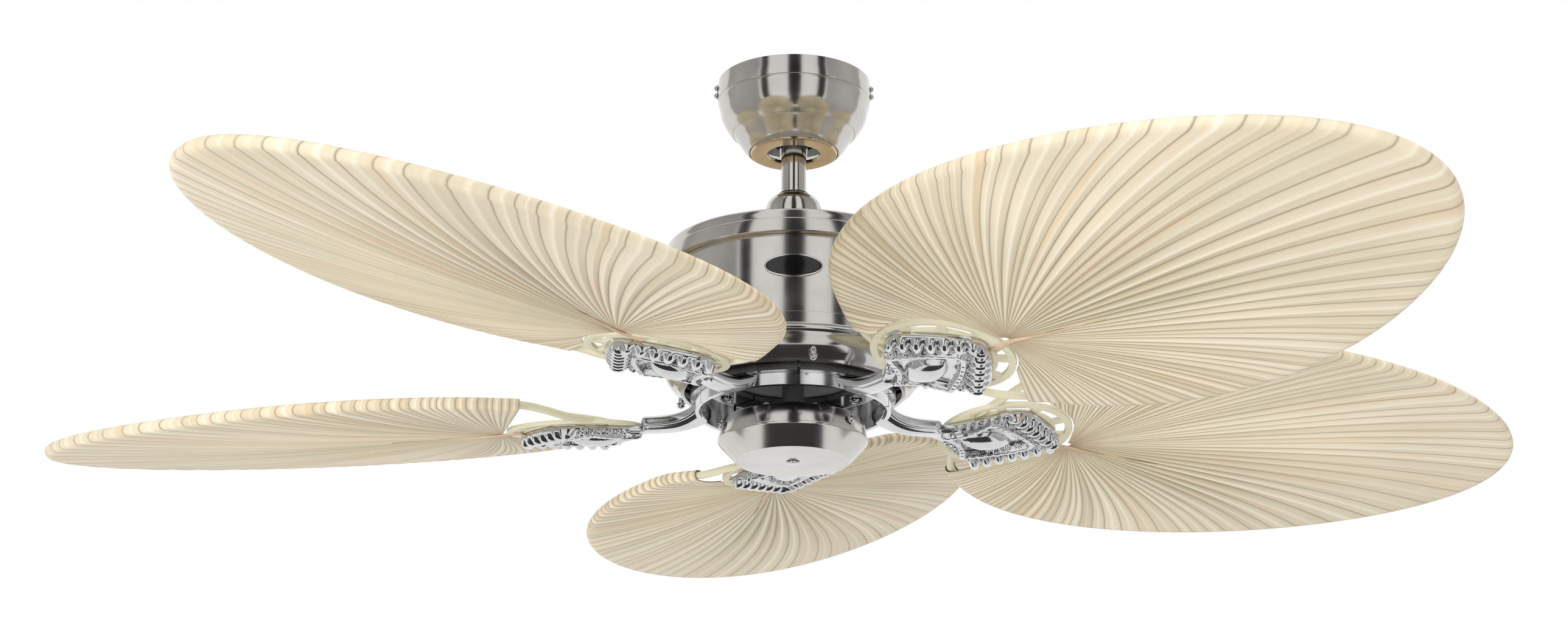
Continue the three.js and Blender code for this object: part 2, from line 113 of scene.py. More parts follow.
def span(x, low, high, to_low=0, to_high=1):
    """Carry a value from one range to another and hold it inside that."""
    links = [(0, x), (1, low), (2, high), (3, to_low), (4, to_high)]
    return node(x.id_data, "ShaderNodeMapRange", links).outputs[0]


def noise(vector, scale, detail, rough):
    links = [("Vector", vector), ("Scale", scale), ("Detail", detail), ("Roughness", rough)]
    return node(vector.id_data, "ShaderNodeTexNoise", links).outputs["Fac"]


def stretched(vector, scale):
    links = [("Vector", vector), ("Scale", scale)]
    return node(vector.id_data, "ShaderNodeMapping", links).outputs[0]


def bumped(height, strength, distance):
    links = [("Height", height), ("Strength", strength), ("Distance", distance)]
    return node(height.id_data, "ShaderNodeBump", links).outputs[0]


def ramp(fac, stops):
    """A colour ramp through (place, colour) stops."""
    r = node(fac.id_data, "ShaderNodeValToRGB", [("Fac", fac)])
    while len(r.color_ramp.elements) < len(stops):
        r.color_ramp.elements.new(0.5)
    for element, (place, colour) in zip(r.color_ramp.elements, stops):
        element.position = place
        element.color = (*colour, 1)
    return r.outputs["Color"]


def mix_colour(fac, a, b):
    """Mix two colours, each a socket or three numbers."""
    a, b = (c if is_socket(c) else (*c, 1) for c in (a, b))
    links = [(0, fac), (6, a), (7, b)]
    return node(fac.id_data, "ShaderNodeMix", links, data_type="RGBA").outputs[2]


def feed(shader, sources):
    """Link sockets to a shader's inputs by name."""
    for name, source in sources.items():
        shader.id_data.links.new(source, shader.inputs[name])


# %% [markdown]
# ## The studio
# Soft lamps stand in front, below, above and behind, hidden from the camera and from reflections.
# The world is white where the camera or a reflection sees it. Polished metal in a plain white room
# looks like paper, so dark and grey cards stand where only reflections find them: they draw the
# stripes that make a turned piece read as metal. The floor lies far below, out of the way of views
# from beneath, and glows for the camera and for reflections, so that it stays as pale as the room.

# %% World and lamps
MOTOR, BLADE_HEIGHT, HIGH = (0, 0, -0.25), (0, 0, -0.3), (0, 0, 0.6)
WORLD_LIGHT, WARM_WHITE, WHITE = 0.36, (1, 0.985, 0.96, 1), (1, 1, 1, 1)

world = bpy.data.worlds.new("studio")
bpy.context.scene.world = world
world.use_nodes = True
tree = world.node_tree
tree.nodes.clear()
rays = node(tree, "ShaderNodeLightPath").outputs
seen = calc("MAXIMUM", rays["Is Camera Ray"], rays["Is Glossy Ray"])
seen = calc("MAXIMUM", seen, rays["Is Transmission Ray"])
lit = node(tree, "ShaderNodeBackground", [("Color", WARM_WHITE), ("Strength", WORLD_LIGHT)])
pale = node(tree, "ShaderNodeBackground", [("Color", WHITE)])
mixed = node(tree, "ShaderNodeMixShader", [(0, seen), (1, lit.outputs[0]), (2, pale.outputs[0])])
node(tree, "ShaderNodeOutputWorld", [(0, mixed.outputs[0])])


def facing(at, aim, axis):
    return (Vector(aim) - Vector(at)).to_track_quat(axis, "Y").to_euler()


def lamp(name, at, aim, wide, tall, power):
    """A soft box at a place, turned to face a point."""
    bpy.ops.object.light_add(type="AREA", location=at)
    light = bpy.context.object
    light.name = name
    light.data.shape = "RECTANGLE"
    light.data.size, light.data.size_y, light.data.energy = wide, tall, power
    light.rotation_euler = facing(at, aim, "-Z")
    light.visible_camera = light.visible_glossy = False


lamp("strip_left", (-1, -3.2, 0.2), MOTOR, 0.8, 4.6, 30)
lamp("strip_right", (1.04, -3.2, 0.2), MOTOR, 0.85, 4.6, 30)
lamp("key_left", (-3, -2.2, -1.2), BLADE_HEIGHT, 1.3, 1.3, 74)
lamp("key_right", (3, -2.6, -1), BLADE_HEIGHT, 1.2, 1.2, 30)
lamp("low", (0, 0.3, -3.2), BLADE_HEIGHT, 1.8, 1.8, 30)
lamp("top", (0.4, -1.2, 2.6), MOTOR, 2, 2, 34)
lamp("rim_back", (-0.8, 2.8, 1.2), MOTOR, 1.8, 1.8, 22)

# %% Floor and cards
FLOOR_SIZE, FLOOR_Z, FLOOR_GREY, FLOOR_GLOW = 60, -13, 0.9, 0.8
STAGE_ROUGHNESS, CARD_TALL = 0.8, 12


def plain(name, grey):
    """A matt grey finish, for what isn't part of the fan."""
    m = bpy.data.materials.new(name)
    m.use_nodes = True
    shader = m.node_tree.nodes["Principled BSDF"]
    shader.inputs["Base Color"].default_value = (grey, grey, grey, 1)
    shader.inputs["Roughness"].default_value = STAGE_ROUGHNESS
    return m


def card(name, at, aim, wide, tall, grey):
    """A card that only reflections see."""
    bpy.ops.mesh.primitive_plane_add(size=1, location=at)
    piece = bpy.context.object
    piece.name = name
    piece.scale = (wide, tall, 1)
    piece.rotation_euler = facing(at, aim, "Z")
    piece.data.materials.append(plain(name, grey))
    piece.visible_camera = piece.visible_diffuse = piece.visible_shadow = False


bpy.ops.mesh.primitive_plane_add(size=FLOOR_SIZE, location=(0, 0, FLOOR_Z))
floor = bpy.context.object
floor.name = "floor"
floor_finish = plain("pale_floor", FLOOR_GREY)
tree = floor_finish.node_tree
rays = node(tree, "ShaderNodeLightPath").outputs
glow = calc("MAXIMUM", times(rays["Is Camera Ray"], FLOOR_GLOW), rays["Is Glossy Ray"])
lit, own = tree.nodes["Principled BSDF"], node(tree, "ShaderNodeEmission")
mixed = node(tree, "ShaderNodeMixShader", [(0, glow), (1, lit.outputs[0]), (2, own.outputs[0])])
tree.links.new(mixed.outputs[0], tree.nodes["Material Output"].inputs[0])
floor.data.materials.append(floor_finish)
card("dark_middle", (0.02, -3.3, 1), HIGH, 1.14, CARD_TALL, 0.01)
card("edge_left", (-3.2, -3.2, 1), (-0.6, 0, 0.6), 0.9, CARD_TALL, 0.02)
card("edge_right", (2.8, -3.2, 1), (0.6, 0, 0.6), 0.9, CARD_TALL, 0.02)
card("grey_left", (-4.6, -0.4, 1), HIGH, 5.6, CARD_TALL, 0.85)
card("grey_right", (4.3, -0.6, 1), HIGH, 5.6, CARD_TALL, 0.85)
card("dark_below", (0, -0.6, -3.8), MOTOR, 4.4, 3.6, 0.05)

# %% [markdown]
# ## Tools for turned pieces
# Canopy, rod, drum and cup are turned on a lathe. In Blender that is a single point, extruded
# along the half profile and then spun a full turn about Z. The doubles at the seam are merged and
# the faces are turned outwards.

# %% Helpers: select, mount, clean up, spin a profile
def clear_selection():
    if bpy.context.mode != "OBJECT":
        bpy.ops.object.mode_set(mode="OBJECT")
    bpy.ops.object.select_all(action="DESELECT")


def only(piece):
    clear_selection()
    piece.select_set(True)
    bpy.context.view_layer.objects.active = piece
    return piece


def coated(piece, *materials):
    piece.data.materials.clear()
    for material in materials:
        piece.data.materials.append(material)


def mount(piece, body, slot, material, *replaced):
    """Hang a finished piece on the body it rides on, coat it with its material when one is given
    and hide the CAD nodes that it stands for. The slot is not used.
    """
    if material:
        coated(piece, material)
    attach(piece, body)
    if replaced:
        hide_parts(*replaced)
    return piece


def cleaned(piece, smooth_deg, merge=1e-6):
    """Merge doubles, turn the faces outwards and smooth all but the sharp edges."""
    bpy.ops.object.mode_set(mode="EDIT")
    bpy.ops.mesh.select_all(action="SELECT")
    bpy.ops.mesh.remove_doubles(threshold=merge)
    bpy.ops.mesh.normals_make_consistent(inside=False)
    bpy.ops.object.mode_set(mode="OBJECT")
    bpy.ops.object.shade_smooth_by_angle(angle=math.radians(smooth_deg))
    return piece


def spun(name, points, steps, angle, smooth_deg, filled=False):
    """Extrude a single point along a list of places, then spin the line about Z."""
    clear_selection()
    bpy.ops.mesh.primitive_plane_add(size=0.01)
    piece = bpy.context.object
    piece.name = piece.data.name = name
    bpy.ops.object.mode_set(mode="EDIT")
    bpy.ops.mesh.select_all(action="SELECT")
    bpy.ops.mesh.merge(type="CENTER")
    bpy.ops.transform.translate(value=points[0])
    for at, to in zip(points, points[1:]):
        bpy.ops.mesh.extrude_region_move(TRANSFORM_OT_translate={"value": to - at})
    bpy.ops.mesh.select_all(action="SELECT")
    if filled:
        bpy.ops.mesh.edge_face_add()
        bpy.ops.mesh.select_all(action="SELECT")
    bpy.ops.mesh.spin(steps=steps, angle=angle, center=(0, 0, 0), axis=(0, 0, 1))
    return cleaned(piece, smooth_deg)


def turned(name, profile_mm, steps=96):
    """Spin [radius, height] pairs a full turn about Z."""
    points = [Vector((r * MM, 0, z * MM)) for r, z in profile_mm]
    return spun(name, points, steps, 2 * math.pi, smooth_deg=28)


# %% Helpers: join rows of points, copy and place
def smooth(a, b, x):
    """0 below a, 1 above b, and a soft step between them."""
    t = np.clip((x - a) / (b - a), 0, 1)
    return t * t * (3 - 2 * t)


def around(count, first=0):
    """Evenly spaced angles of a full turn."""
    return np.linspace(first, first + 2 * math.pi, count, endpoint=False)


def linked(name, data):
    """Put a mesh or a curve into the scene."""
    piece = bpy.data.objects.new(name, data)
    bpy.context.collection.objects.link(piece)
    return piece


def from_rings(name, rings, smooth_deg, sheet=False, loop=False):
    """Join rows of points with quads; used where no operator makes the form.

    Each row is a closed ring, unless the whole is an open sheet. A loop joins the last row to the
    first, and otherwise the two end rings are capped."""
    rings = np.asarray(rings, float)
    rows, cols = rings.shape[:2]
    faces = []
    for i in range(rows if loop else rows - 1):
        k = (i + 1) % rows
        for j in range(cols - 1 if sheet else cols):
            m = (j + 1) % cols
            faces.append((i * cols + j, i * cols + m, k * cols + m, k * cols + j))
    if not sheet and not loop:
        faces.append(tuple(range(cols - 1, -1, -1)))
        faces.append(tuple((rows - 1) * cols + j for j in range(cols)))
    mesh = bpy.data.meshes.new(name)
    mesh.from_pydata((rings.reshape(-1, 3) * MM).tolist(), [], faces)
    return cleaned(only(linked(name, mesh)), smooth_deg, merge=1e-7)


def apply_all(piece):
    only(piece)
    for modifier in list(piece.modifiers):
        bpy.ops.object.modifier_apply(modifier=modifier.name)
    return piece


def joined(name, pieces):
    clear_selection()
    for p in pieces:
        p.select_set(True)
    bpy.context.view_layer.objects.active = pieces[0]
    bpy.ops.object.join()
    whole = bpy.context.object
    whole.name = whole.data.name = name
    return whole


def copied(piece, name, matrix):
    """A copy with its own mesh, its place baked into the vertices."""
    twin = linked(name, piece.data.copy())
    twin.data.name = name
    twin.data.transform(matrix)
    return twin


def removed(*patterns):
    for pattern in patterns:
        bpy.data.objects.remove(pattern)


def about(degrees, axis="Z"):
    return Matrix.Rotation(math.radians(degrees), 4, axis)


def shift(x, y, z):
    """A move in millimetres."""
    return Matrix.Translation((x * MM, y * MM, z * MM))


# %% [markdown]
# ## Shared effects
# Three effects come back in most finishes, so each is a node group: fine lines that run round a
# turned piece, a slow mottle of handling marks and dust, and a grain for cast or moulded skin.
# The groups put out masks and normals only. The shader stays in each material.

# %% A new group, and how a finish uses one
def new_group(name, numbers, *results):
    """A group on a vector and named numbers, handed back with its inner ends."""
    group = bpy.data.node_groups.new(name, "ShaderNodeTree")
    new_socket = group.interface.new_socket
    new_socket("Vector", in_out="INPUT", socket_type="NodeSocketVector")
    for label, value in numbers.items():
        new_socket(label, in_out="INPUT", socket_type="NodeSocketFloat").default_value = value
    for label in results:
        kind = "NodeSocketVector" if label == "Normal" else "NodeSocketFloat"
        new_socket(label, in_out="OUTPUT", socket_type=kind)
    given, result = group.nodes.new("NodeGroupInput"), group.nodes.new("NodeGroupOutput")
    return group, given.outputs, result.inputs


def use_group(group, vector, *values):
    """Add a group; the coordinates and the values fill its inputs in order."""
    links = list(enumerate((vector, *values)))
    return node(vector.id_data, "ShaderNodeGroup", links, node_tree=group).outputs


# %% Fine lines round a turned piece: noise that changes along the radius and height only
LINES_PER_METRE, LINE_SLIP, LINE_DEPTH = 1700, 0.9, 0.00002
lines_group, given, result = new_group("turned_lines", {"Strength": 0.3}, "Lines", "Normal")
px, py, pz = node(lines_group, "ShaderNodeSeparateXYZ", [(0, given[0])]).outputs
radius = calc("SQRT", plus(times(px, px), times(py, py)))
polar = node(lines_group, "ShaderNodeCombineXYZ", [
    (0, times(radius, LINES_PER_METRE)), (1, times(calc("ARCTAN2", py, px), LINE_SLIP)),
    (2, times(pz, LINES_PER_METRE))]).outputs[0]
fine = noise(polar, 1, 4, 0.65)
lines_group.links.new(fine, result[0])
lines_group.links.new(bumped(fine, given[1], LINE_DEPTH), result[1])

# %% Slow mottle of dust and handling, and a fine grain
mottle_group, given, result = new_group("mottle", {"Scale": 30}, "Mask")
broad = noise(given[0], given[1], 6, 0.6)
mottle_group.links.new(span(broad, 0.35, 0.68), result[0])

grain_group, given, result = new_group(
    "skin_grain", {"Scale": 900, "Strength": 0.2, "Distance": 0.0002}, "Grain", "Normal")
pebbles = noise(given[0], given[1], 4, 0.6)
grain_group.links.new(pebbles, result[0])
grain_group.links.new(bumped(pebbles, given[2], given[3]), result[1])


def finish(name):
    """A new material with its shader and Object coordinates."""
    m = bpy.data.materials.new(name)
    m.use_nodes = True
    coords = m.node_tree.nodes.new("ShaderNodeTexCoord").outputs["Object"]
    return m, m.node_tree.nodes["Principled BSDF"], coords


# %% [markdown]
# ## Metals
# The housing is brushed nickel: a warm grey with rings of fine lines in its tone and its normal.
# The irons and small fittings are chrome over a cast or pressed skin. Roughness does more than
# colour here, and the mottle drives it.

# %% Metal finishes
METAL_MOTTLE, CAST_DEPTH = 26, 0.0003
LINE_TONE, LINE_SHARE = (0.2, 0.19, 0.18), 0.16


def metal(name, dark, light, rough_low, rough_high, line_strength=0, grain=0, grain_scale=0):
    m, shader, coords = finish(name)
    mottle = use_group(mottle_group, coords, METAL_MOTTLE)[0]
    tone = mix_colour(mottle, dark, light)
    if line_strength:
        lines, normal = use_group(lines_group, coords, line_strength)
        tone = mix_colour(times(lines, LINE_SHARE), tone, LINE_TONE)
        feed(shader, {"Normal": normal})
    if grain:
        normal = use_group(grain_group, coords, grain_scale, grain, CAST_DEPTH)[1]
        feed(shader, {"Normal": normal})
    feed(shader, {"Base Color": tone, "Roughness": span(mottle, 0, 1, rough_low, rough_high)})
    shader.inputs["Metallic"].default_value = 1
    return m


NICKEL = metal("brushed_nickel", (0.58, 0.56, 0.53), (0.68, 0.66, 0.63), 0.13, 0.18, 0.5)
NICKEL_TOP = metal("satin_nickel_top", (0.5, 0.48, 0.45), (0.6, 0.58, 0.55), 0.4, 0.5, 0.5)
CHROME = metal("cast_chrome", (0.58, 0.58, 0.59), (0.77, 0.77, 0.78), 0.1, 0.2, 0, 0.05, 420)
TRIM = metal("trim_ring_nickel", (0.55, 0.42, 0.29), (0.62, 0.49, 0.35), 0.1, 0.16)
FASTENER = metal("plated_fastener", (0.58,) * 3, (0.72,) * 3, 0.12, 0.24)
ROUGH_CAST = metal("rough_casting", (0.1,) * 3, (0.26,) * 3, 0.42, 0.62, 0, 0.9, 620)
STEEL = metal("zinc_steel", (0.36, 0.36, 0.37), (0.5, 0.5, 0.51), 0.32, 0.46, 0, 0.15, 700)
BRIGHT = "polished_chrome", FASTENER     # the slot and finish of small fittings
COPPER = metal("winding_wire", (0.46, 0.21, 0.09), (0.62, 0.33, 0.16), 0.3, 0.42, 0.8)


# %% Black plastic, rubber and the cream moulding
MOULDED_MOTTLE, MOULDED_DEPTH = 14, 0.0002


def moulded(name, dark, light, rough_low, rough_high, grain, scale):
    m, shader, coords = finish(name)
    mottle = use_group(mottle_group, coords, MOULDED_MOTTLE)[0]
    pebbles, normal = use_group(grain_group, coords, scale, grain, MOULDED_DEPTH)
    feed(shader, {"Base Color": mix_colour(mottle, dark, light), "Normal": normal,
                  "Roughness": span(pebbles, 0, 1, rough_low, rough_high)})
    return m


BLACK = moulded("black_moulding", (0.012,) * 3, (0.028,) * 3, 0.3, 0.5, 0.2, 500)
ENAMEL = moulded("black_enamel", (0.004,) * 3, (0.009,) * 3, 0.1, 0.18, 0.03, 500)
RUBBER = moulded("seal_rubber", (0.02,) * 3, (0.04, 0.04, 0.038), 0.7, 0.85, 0.4, 900)
CREAM = moulded("cream_moulding", (0.7, 0.65, 0.46), (0.78, 0.73, 0.55), 0.38, 0.52, 0.12, 260)

# %% Finishes of the CAD nodes that stay in sight
NODE_FINISH = {
    STEEL: ("hanger_bracket", "ball_pin", "coupling", "coupling_pin", "motor_shaft", "stator_core"),
    ROUGH_CAST: ("rotor_case",),
    BLACK: ("hanger_ball", "switch_plate"),
    COPPER: ("winding_upper", "winding_lower"),
    FASTENER: ("bearing_upper", "bearing_lower"),
}
for material, names in NODE_FINISH.items():
    for name in names:
        coated(nodes[name], material)

# %% [markdown]
# ## The ceiling end
# The canopy is one spun cup with two stepped lines. A real spun cup has soft corners, so each
# step gets a point on either side of it instead of a single sharp one. The trim ring under it is
# polished and mirrors something tan in the photograph, so its own finish is tan here.

# %% Canopy, trim ring and rod
HOUSING = "hanging_motor", "brushed_nickel", NICKEL
canopy = turned("canopy_shell", [
    (61.6, -0.3), (63, -0.3), (63.25, -0.6), (63.3, -8), (63.3, -15.9), (63.1, -16.6), (62.6, -17),
    (62.5, -17.4), (62.8, -17.9), (62.9, -18.6), (62.7, -20.2), (61.9, -23.1), (61.1, -26.4),
    (60.4, -29.7), (59.5, -33), (58, -36.3), (56, -39.6), (53.9, -42.6), (51.5, -45.1), (51, -45.7),
    (50.5, -45.7), (50, -46.2), (48.9, -47.8), (47.5, -49.6), (45.5, -52.7), (43.4, -56),
    (41, -59.3), (38.6, -61.9), (37.7, -62.5), (36.9, -62.4), (36.9, -60.9), (23.8, -60.9),
    (23.8, -59.9), (37.4, -59.9), (40.6, -57.2), (44.6, -51.9), (49.3, -45.5), (54.9, -39),
    (58.6, -32), (61, -23), (61.6, -16), (61.6, -0.3)])
trim = turned("canopy_trim", [
    (21.8, -61.2), (36.1, -61.2), (36.5, -61.6), (36.4, -62.4), (35.6, -63.7), (34.9, -64.1),
    (24.5, -64.1), (22.3, -63.9), (21.8, -63.4), (21.8, -61.2)])
rod = turned("rod_tube", [(8.4, -18.9), (9.9, -18.9), (10.3, -19.4), (10.3, -127.4), (9.9, -127.9),
                          (8.4, -127.9), (8.4, -18.9)], steps=64)
mount(canopy, "ceiling_mount", "brushed_nickel", NICKEL, "canopy")
mount(trim, "ceiling_mount", "polished_chrome", TRIM, "canopy_trim_ring")
mount(rod, *HOUSING, "downrod")

# %% [markdown]
# ## The motor housing
# Below the rod come a domed coupling cover with a rubber seal, a top cover with a turned-in lip,
# the drum, and the bowl whose steps catch one bright line each. The profiles keep the heights and
# radii measured in the photograph and round every rim by a few tenths of a millimetre.

# %% Coupling cover, seal, top cover, drum and bowl
cover = turned("coupling_dome", [
    (13.8, -101.5), (14.3, -101.2), (15.4, -101.7), (16.6, -102.6), (18.1, -103.7), (19.5, -105.1),
    (20.8, -106.8), (21.8, -108.6), (22.7, -111.4), (23.3, -115), (23.8, -120), (24.2, -128),
    (24.9, -137), (25.7, -141.5), (27, -145), (28.9, -147.6), (29.4, -148.4), (29.4, -149.3),
    (28.3, -149.3), (27.2, -147.6), (24.4, -141.5), (23, -128), (22.5, -119.5), (21.8, -113.5),
    (20.5, -109.4), (18.2, -105.9), (15.7, -103.7), (13.8, -102.3), (13.8, -101.5)])
seal = turned("rod_seal", [
    (10.6, -104.2), (12.7, -104.2), (13.2, -103.5), (13.2, -100.3), (12.6, -99.4), (11.4, -99.1),
    (10.6, -99.5), (10.6, -104.2)], steps=48)
top_cover = turned("motor_top_cover", [
    (14, -149.9), (30.5, -149.9), (98, -150), (101.4, -150), (102.7, -150.3), (103.6, -151),
    (104.1, -152.1), (104.6, -155), (104.9, -157.9), (105.1, -158.6), (105.5, -159), (106, -159.5),
    (106.2, -160.4), (106.8, -168.6), (106.8, -169.7), (106.3, -170.3), (105.5, -170.4),
    (101.2, -170.4), (100.9, -170.1), (100.9, -168.9), (104.9, -168.8), (104.5, -160.9),
    (102.9, -152.6), (102, -151.5), (98, -151.4), (14, -151.3), (14, -149.9)], steps=128)
drum = turned("motor_drum", [
    (99.2, -152), (100.4, -152), (100.5, -153), (100.5, -170), (100.5, -234), (100.5, -240.5),
    (99.2, -240.5), (99.2, -152)], steps=128)
bowl = turned("motor_bowl", [
    (100.9, -235.2), (101.7, -235), (102.1, -235.4), (102.1, -244.3), (102.5, -245),
    (103.3, -245.3), (104.4, -245.8), (105.3, -246.6), (106.2, -247.9), (106.9, -248.9),
    (107.2, -249.8), (107.2, -250.6), (106.7, -251.4), (105.6, -252.1), (105, -253),
    (104.3, -254.9), (103.7, -256.6), (102.8, -259.2), (101.9, -261), (100.9, -262.4),
    (98.4, -265.4), (96.4, -267.1), (93.9, -268.7), (92, -270.3), (91.4, -271.3), (90.6, -272.1),
    (88.9, -272.3), (87.7, -271.9), (87.2, -271), (87.9, -270.6), (90.3, -270), (93, -267.6),
    (97.3, -264.5), (99.7, -261.4), (101.5, -258.2), (102.7, -254.6), (104, -251.4),
    (104.7, -249.8), (100.9, -245.4), (100.9, -235.2)], steps=128)
mount(cover, *HOUSING, "coupling_cover")
mount(seal, "hanging_motor", "seal_rubber", RUBBER, "coupling_seal")
mount(top_cover, *HOUSING, "housing_top_cover")
FLAT_TOP = 0.93     # the faces that look up are satin, not polished
top_cover.data.materials.append(NICKEL_TOP)
for face in top_cover.data.polygons:
    if face.normal.z > FLAT_TOP:
        face.material_index = 1
mount(drum, *HOUSING, "housing_drum")
mount(bowl, *HOUSING, "housing_bowl")

# %% [markdown]
# ## The switch cup
# A shallow cup with a cone and a flat face closes the fan below. It has the same rings of lines as
# the rest of the housing.

# %% Cup and centre button
cup = turned("switch_cup_shell", [
    (55.9, -296.4), (56.9, -296.2), (57.2, -296.5), (58.6, -302.4), (60.3, -310.5), (60.5, -311.8),
    (60.3, -312.9), (59.7, -313.7), (46.2, -327.9), (45.5, -328.4), (44.6, -328.5), (2.6, -328.5),
    (2.6, -327.3), (44.4, -327.3), (58.8, -312.8), (59.2, -311.6), (57.4, -302.6), (55.9, -296.4)],
    steps=128)
button = turned("centre_button", [
    (0, -331.2), (2.2, -331.15), (3.9, -330.8), (5, -330.1), (5.5, -329.2), (5.5, -328.8),
    (2.1, -328.8), (2.1, -318), (0, -318)], steps=40)
mount(cup, *HOUSING, "switch_cup")
mount(button, "hanging_motor", *BRIGHT, "finial_button")

# %% [markdown]
# ## The oval plate on the drum
# A small oval plate sits on the front of the drum: black enamel inside a chrome rim. It is left
# bare. It bends round the drum, so it is made from rings of points laid on the cylinder.

# %% Blank badge
DRUM_R, BADGE_Z, BADGE_SHIFT = 100.5, -197.2, -1


def oval(name, half_w, half_h, out_mm, thick_mm, dome_mm, material, slot):
    """A domed ellipse wrapped on the drum, made as rings from its back to its face."""
    angles = around(96)
    stack = [(0.02, 0), (0.5, 0), (1, 0), (1, thick_mm * 0.6), (0.985, thick_mm * 0.9)]
    stack += [(share, thick_mm + dome_mm * (1 - share ** 4))
              for share in (0.955, 0.9, 0.8, 0.65, 0.5, 0.35, 0.2, 0.08, 0.02)]
    rings = []
    for share, lift in stack:
        turn = (share * half_w * np.cos(angles) + BADGE_SHIFT) / DRUM_R
        r = DRUM_R + out_mm + lift
        rings.append(np.stack([r * np.sin(turn), -r * np.cos(turn),
                               BADGE_Z + share * half_h * np.sin(angles)], 1))
    return mount(from_rings(name, rings, smooth_deg=40), "hanging_motor", slot, material)


oval("badge_rim", 23.2, 9.7, 0.05, 1.1, 0.2, FASTENER, "polished_chrome")
oval("badge_enamel", 21.9, 8.4, 0.6, 0.9, 0.4, ENAMEL, "black_plastic")

# %% [markdown]
# ## Screws and nuts
# Every visible fastener is modelled once and copied: a cross-head screw on a flower washer holds
# the canopy and the cup, an acorn nut hangs under the bowl, and the irons have screws with lock
# washers. A flower washer is a disc whose rim waves in and out.

# %% Fastener patterns
WAVE = 0.07                                           # of a flower washer's radius
SLOT_LONG, SLOT_WIDE, SLOT_DEEP = 1.15, 0.26, 0.9     # of a screw head's radius and height
DOME_DEG = (22, 45, 66, 80)


def flower_washer(r_out, r_in, thick, lobes=8):
    """A washer with a scalloped, slightly cupped rim, lying along +X from x=0."""
    rows = []
    for r, x in ((r_in, thick), (r_in, 0), (1, 0), (1, thick * 0.75), (0.8, thick)):
        row = []
        for j in range(64):
            a = j / 64 * 2 * math.pi
            wave = r_out * (1 + WAVE * math.cos(lobes * a))
            radius = r if r == r_in else r * wave
            row.append((x, radius * math.cos(a), radius * math.sin(a)))
        rows.append(row)
    return from_rings("washer", rows, smooth_deg=40, loop=True)


def screw(name, shank_r, shank, head_r, head_h, seat):
    """A cross-head screw along +X: shank inwards from the seat, domed head outwards."""
    dome = [(head_r * math.cos(t), seat + head_h * math.sin(t)) for t in np.radians(DOME_DEG)]
    piece = turned(name, [(0, seat - shank), (shank_r, seat - shank), (shank_r, seat),
                          (head_r, seat), *dome, (0, seat + head_h)], steps=28)
    for turn in (0, 90):
        clear_selection()
        bpy.ops.mesh.primitive_cube_add(size=1, location=(0, 0, (seat + head_h) * MM))
        slot = bpy.context.object
        slot.scale = (head_r * SLOT_LONG * MM, head_r * SLOT_WIDE * MM, head_h * SLOT_DEEP * MM)
        slot.rotation_euler = (0, 0, math.radians(turn))
        bpy.ops.object.transform_apply()
        cut = piece.modifiers.new("slot", "BOOLEAN")
        cut.operation, cut.object, cut.solver = "DIFFERENCE", slot, "EXACT"
        apply_all(piece)
        removed(slot)
    piece.data.transform(about(90, "Y"))
    return piece


def with_washer(name, bolt, washer, place):
    washer.data.transform(place)
    return joined(name, [bolt, washer])


canopy_pattern = with_washer("canopy_fastener", screw("bolt", 1.7, 6.2, 2.5, 2.3, 64.4),
                             flower_washer(3.2, 1.75, 0.8), shift(63.6, 0, 0))
cup_pattern = with_washer("cup_fastener", screw("bolt", 1.6, 7.8, 3, 2.5, 61.1),
                          flower_washer(4, 1.75, 0.8), shift(60.4, 0, 0))
iron_pattern = screw("iron_fastener", 2, 12, 3.6, 2.4, 0)
iron_pattern.data.transform(about(90, "Y"))
lock = turned("lock", [(2.1, -1.2), (5, -1.2), (5.2, -0.9), (5.2, -0.1), (2.1, 0),
                       (2.1, -1.2)], steps=40)
iron_pattern = with_washer("iron_fastener", iron_pattern, lock, shift(0, 0, 1.2))

# %% Place the screws
CANOPY_SCREW_Z, CUP_SCREW_Z, CUP_SCREW_AZIMUTHS = (-4.6, -11.4), -304, (-41, -161, 79)
i = 0
for side in (0, 180):
    for z in CANOPY_SCREW_Z:
        i += 1
        piece = copied(canopy_pattern, f"canopy_bolt_{i}", shift(0, 0, z) @ about(side))
        mount(piece, "ceiling_mount", *BRIGHT, f"canopy_screw_{i}")
for i, azimuth in enumerate(CUP_SCREW_AZIMUTHS, 1):
    piece = copied(cup_pattern, f"cup_bolt_{i}", shift(0, 0, CUP_SCREW_Z) @ about(azimuth))
    mount(piece, "hanging_motor", *BRIGHT, f"cup_screw_{i}")
removed(canopy_pattern, cup_pattern)

# %% Acorn nuts under the bowl, each on its threaded stud
NUT_RING_R, NUT_AZIMUTHS = 98, (-81.5, 38.5, 158.5)
COLLAR_LOW, COLLAR_HIGH, COLLAR_R = -271.35, -269.75, 3.2
nut = turned("nut_pattern", [
    (0, -274), (1.3, -273.8), (2.3, -273.1), (2.9, -272.1), (3.05, -271.4), (3.4, -271.3),
    (3.4, -269.8), (2.4, -269.7), (2.4, -266.9), (2.1, -266.6), (2.4, -266.3), (2.1, -266),
    (2.4, -265.7), (2.1, -265.4), (2.4, -265.1), (2.3, -260), (0, -260)], steps=24)
sixth = math.pi / 3
for v in nut.data.vertices:
    if COLLAR_LOW < v.co.z / MM < COLLAR_HIGH and math.hypot(v.co.x, v.co.y) > COLLAR_R * MM:
        # the round collar becomes a hexagon
        a = math.atan2(v.co.y, v.co.x)
        flat = math.cos(math.pi / 6) / math.cos((a % sixth) - math.pi / 6)
        v.co.x, v.co.y = v.co.x * flat, v.co.y * flat
nut = with_washer("nut_pattern", nut, flower_washer(3.7, 2.45, 0.7, lobes=9),
                  shift(0, 0, -269.7) @ about(-90, "Y"))
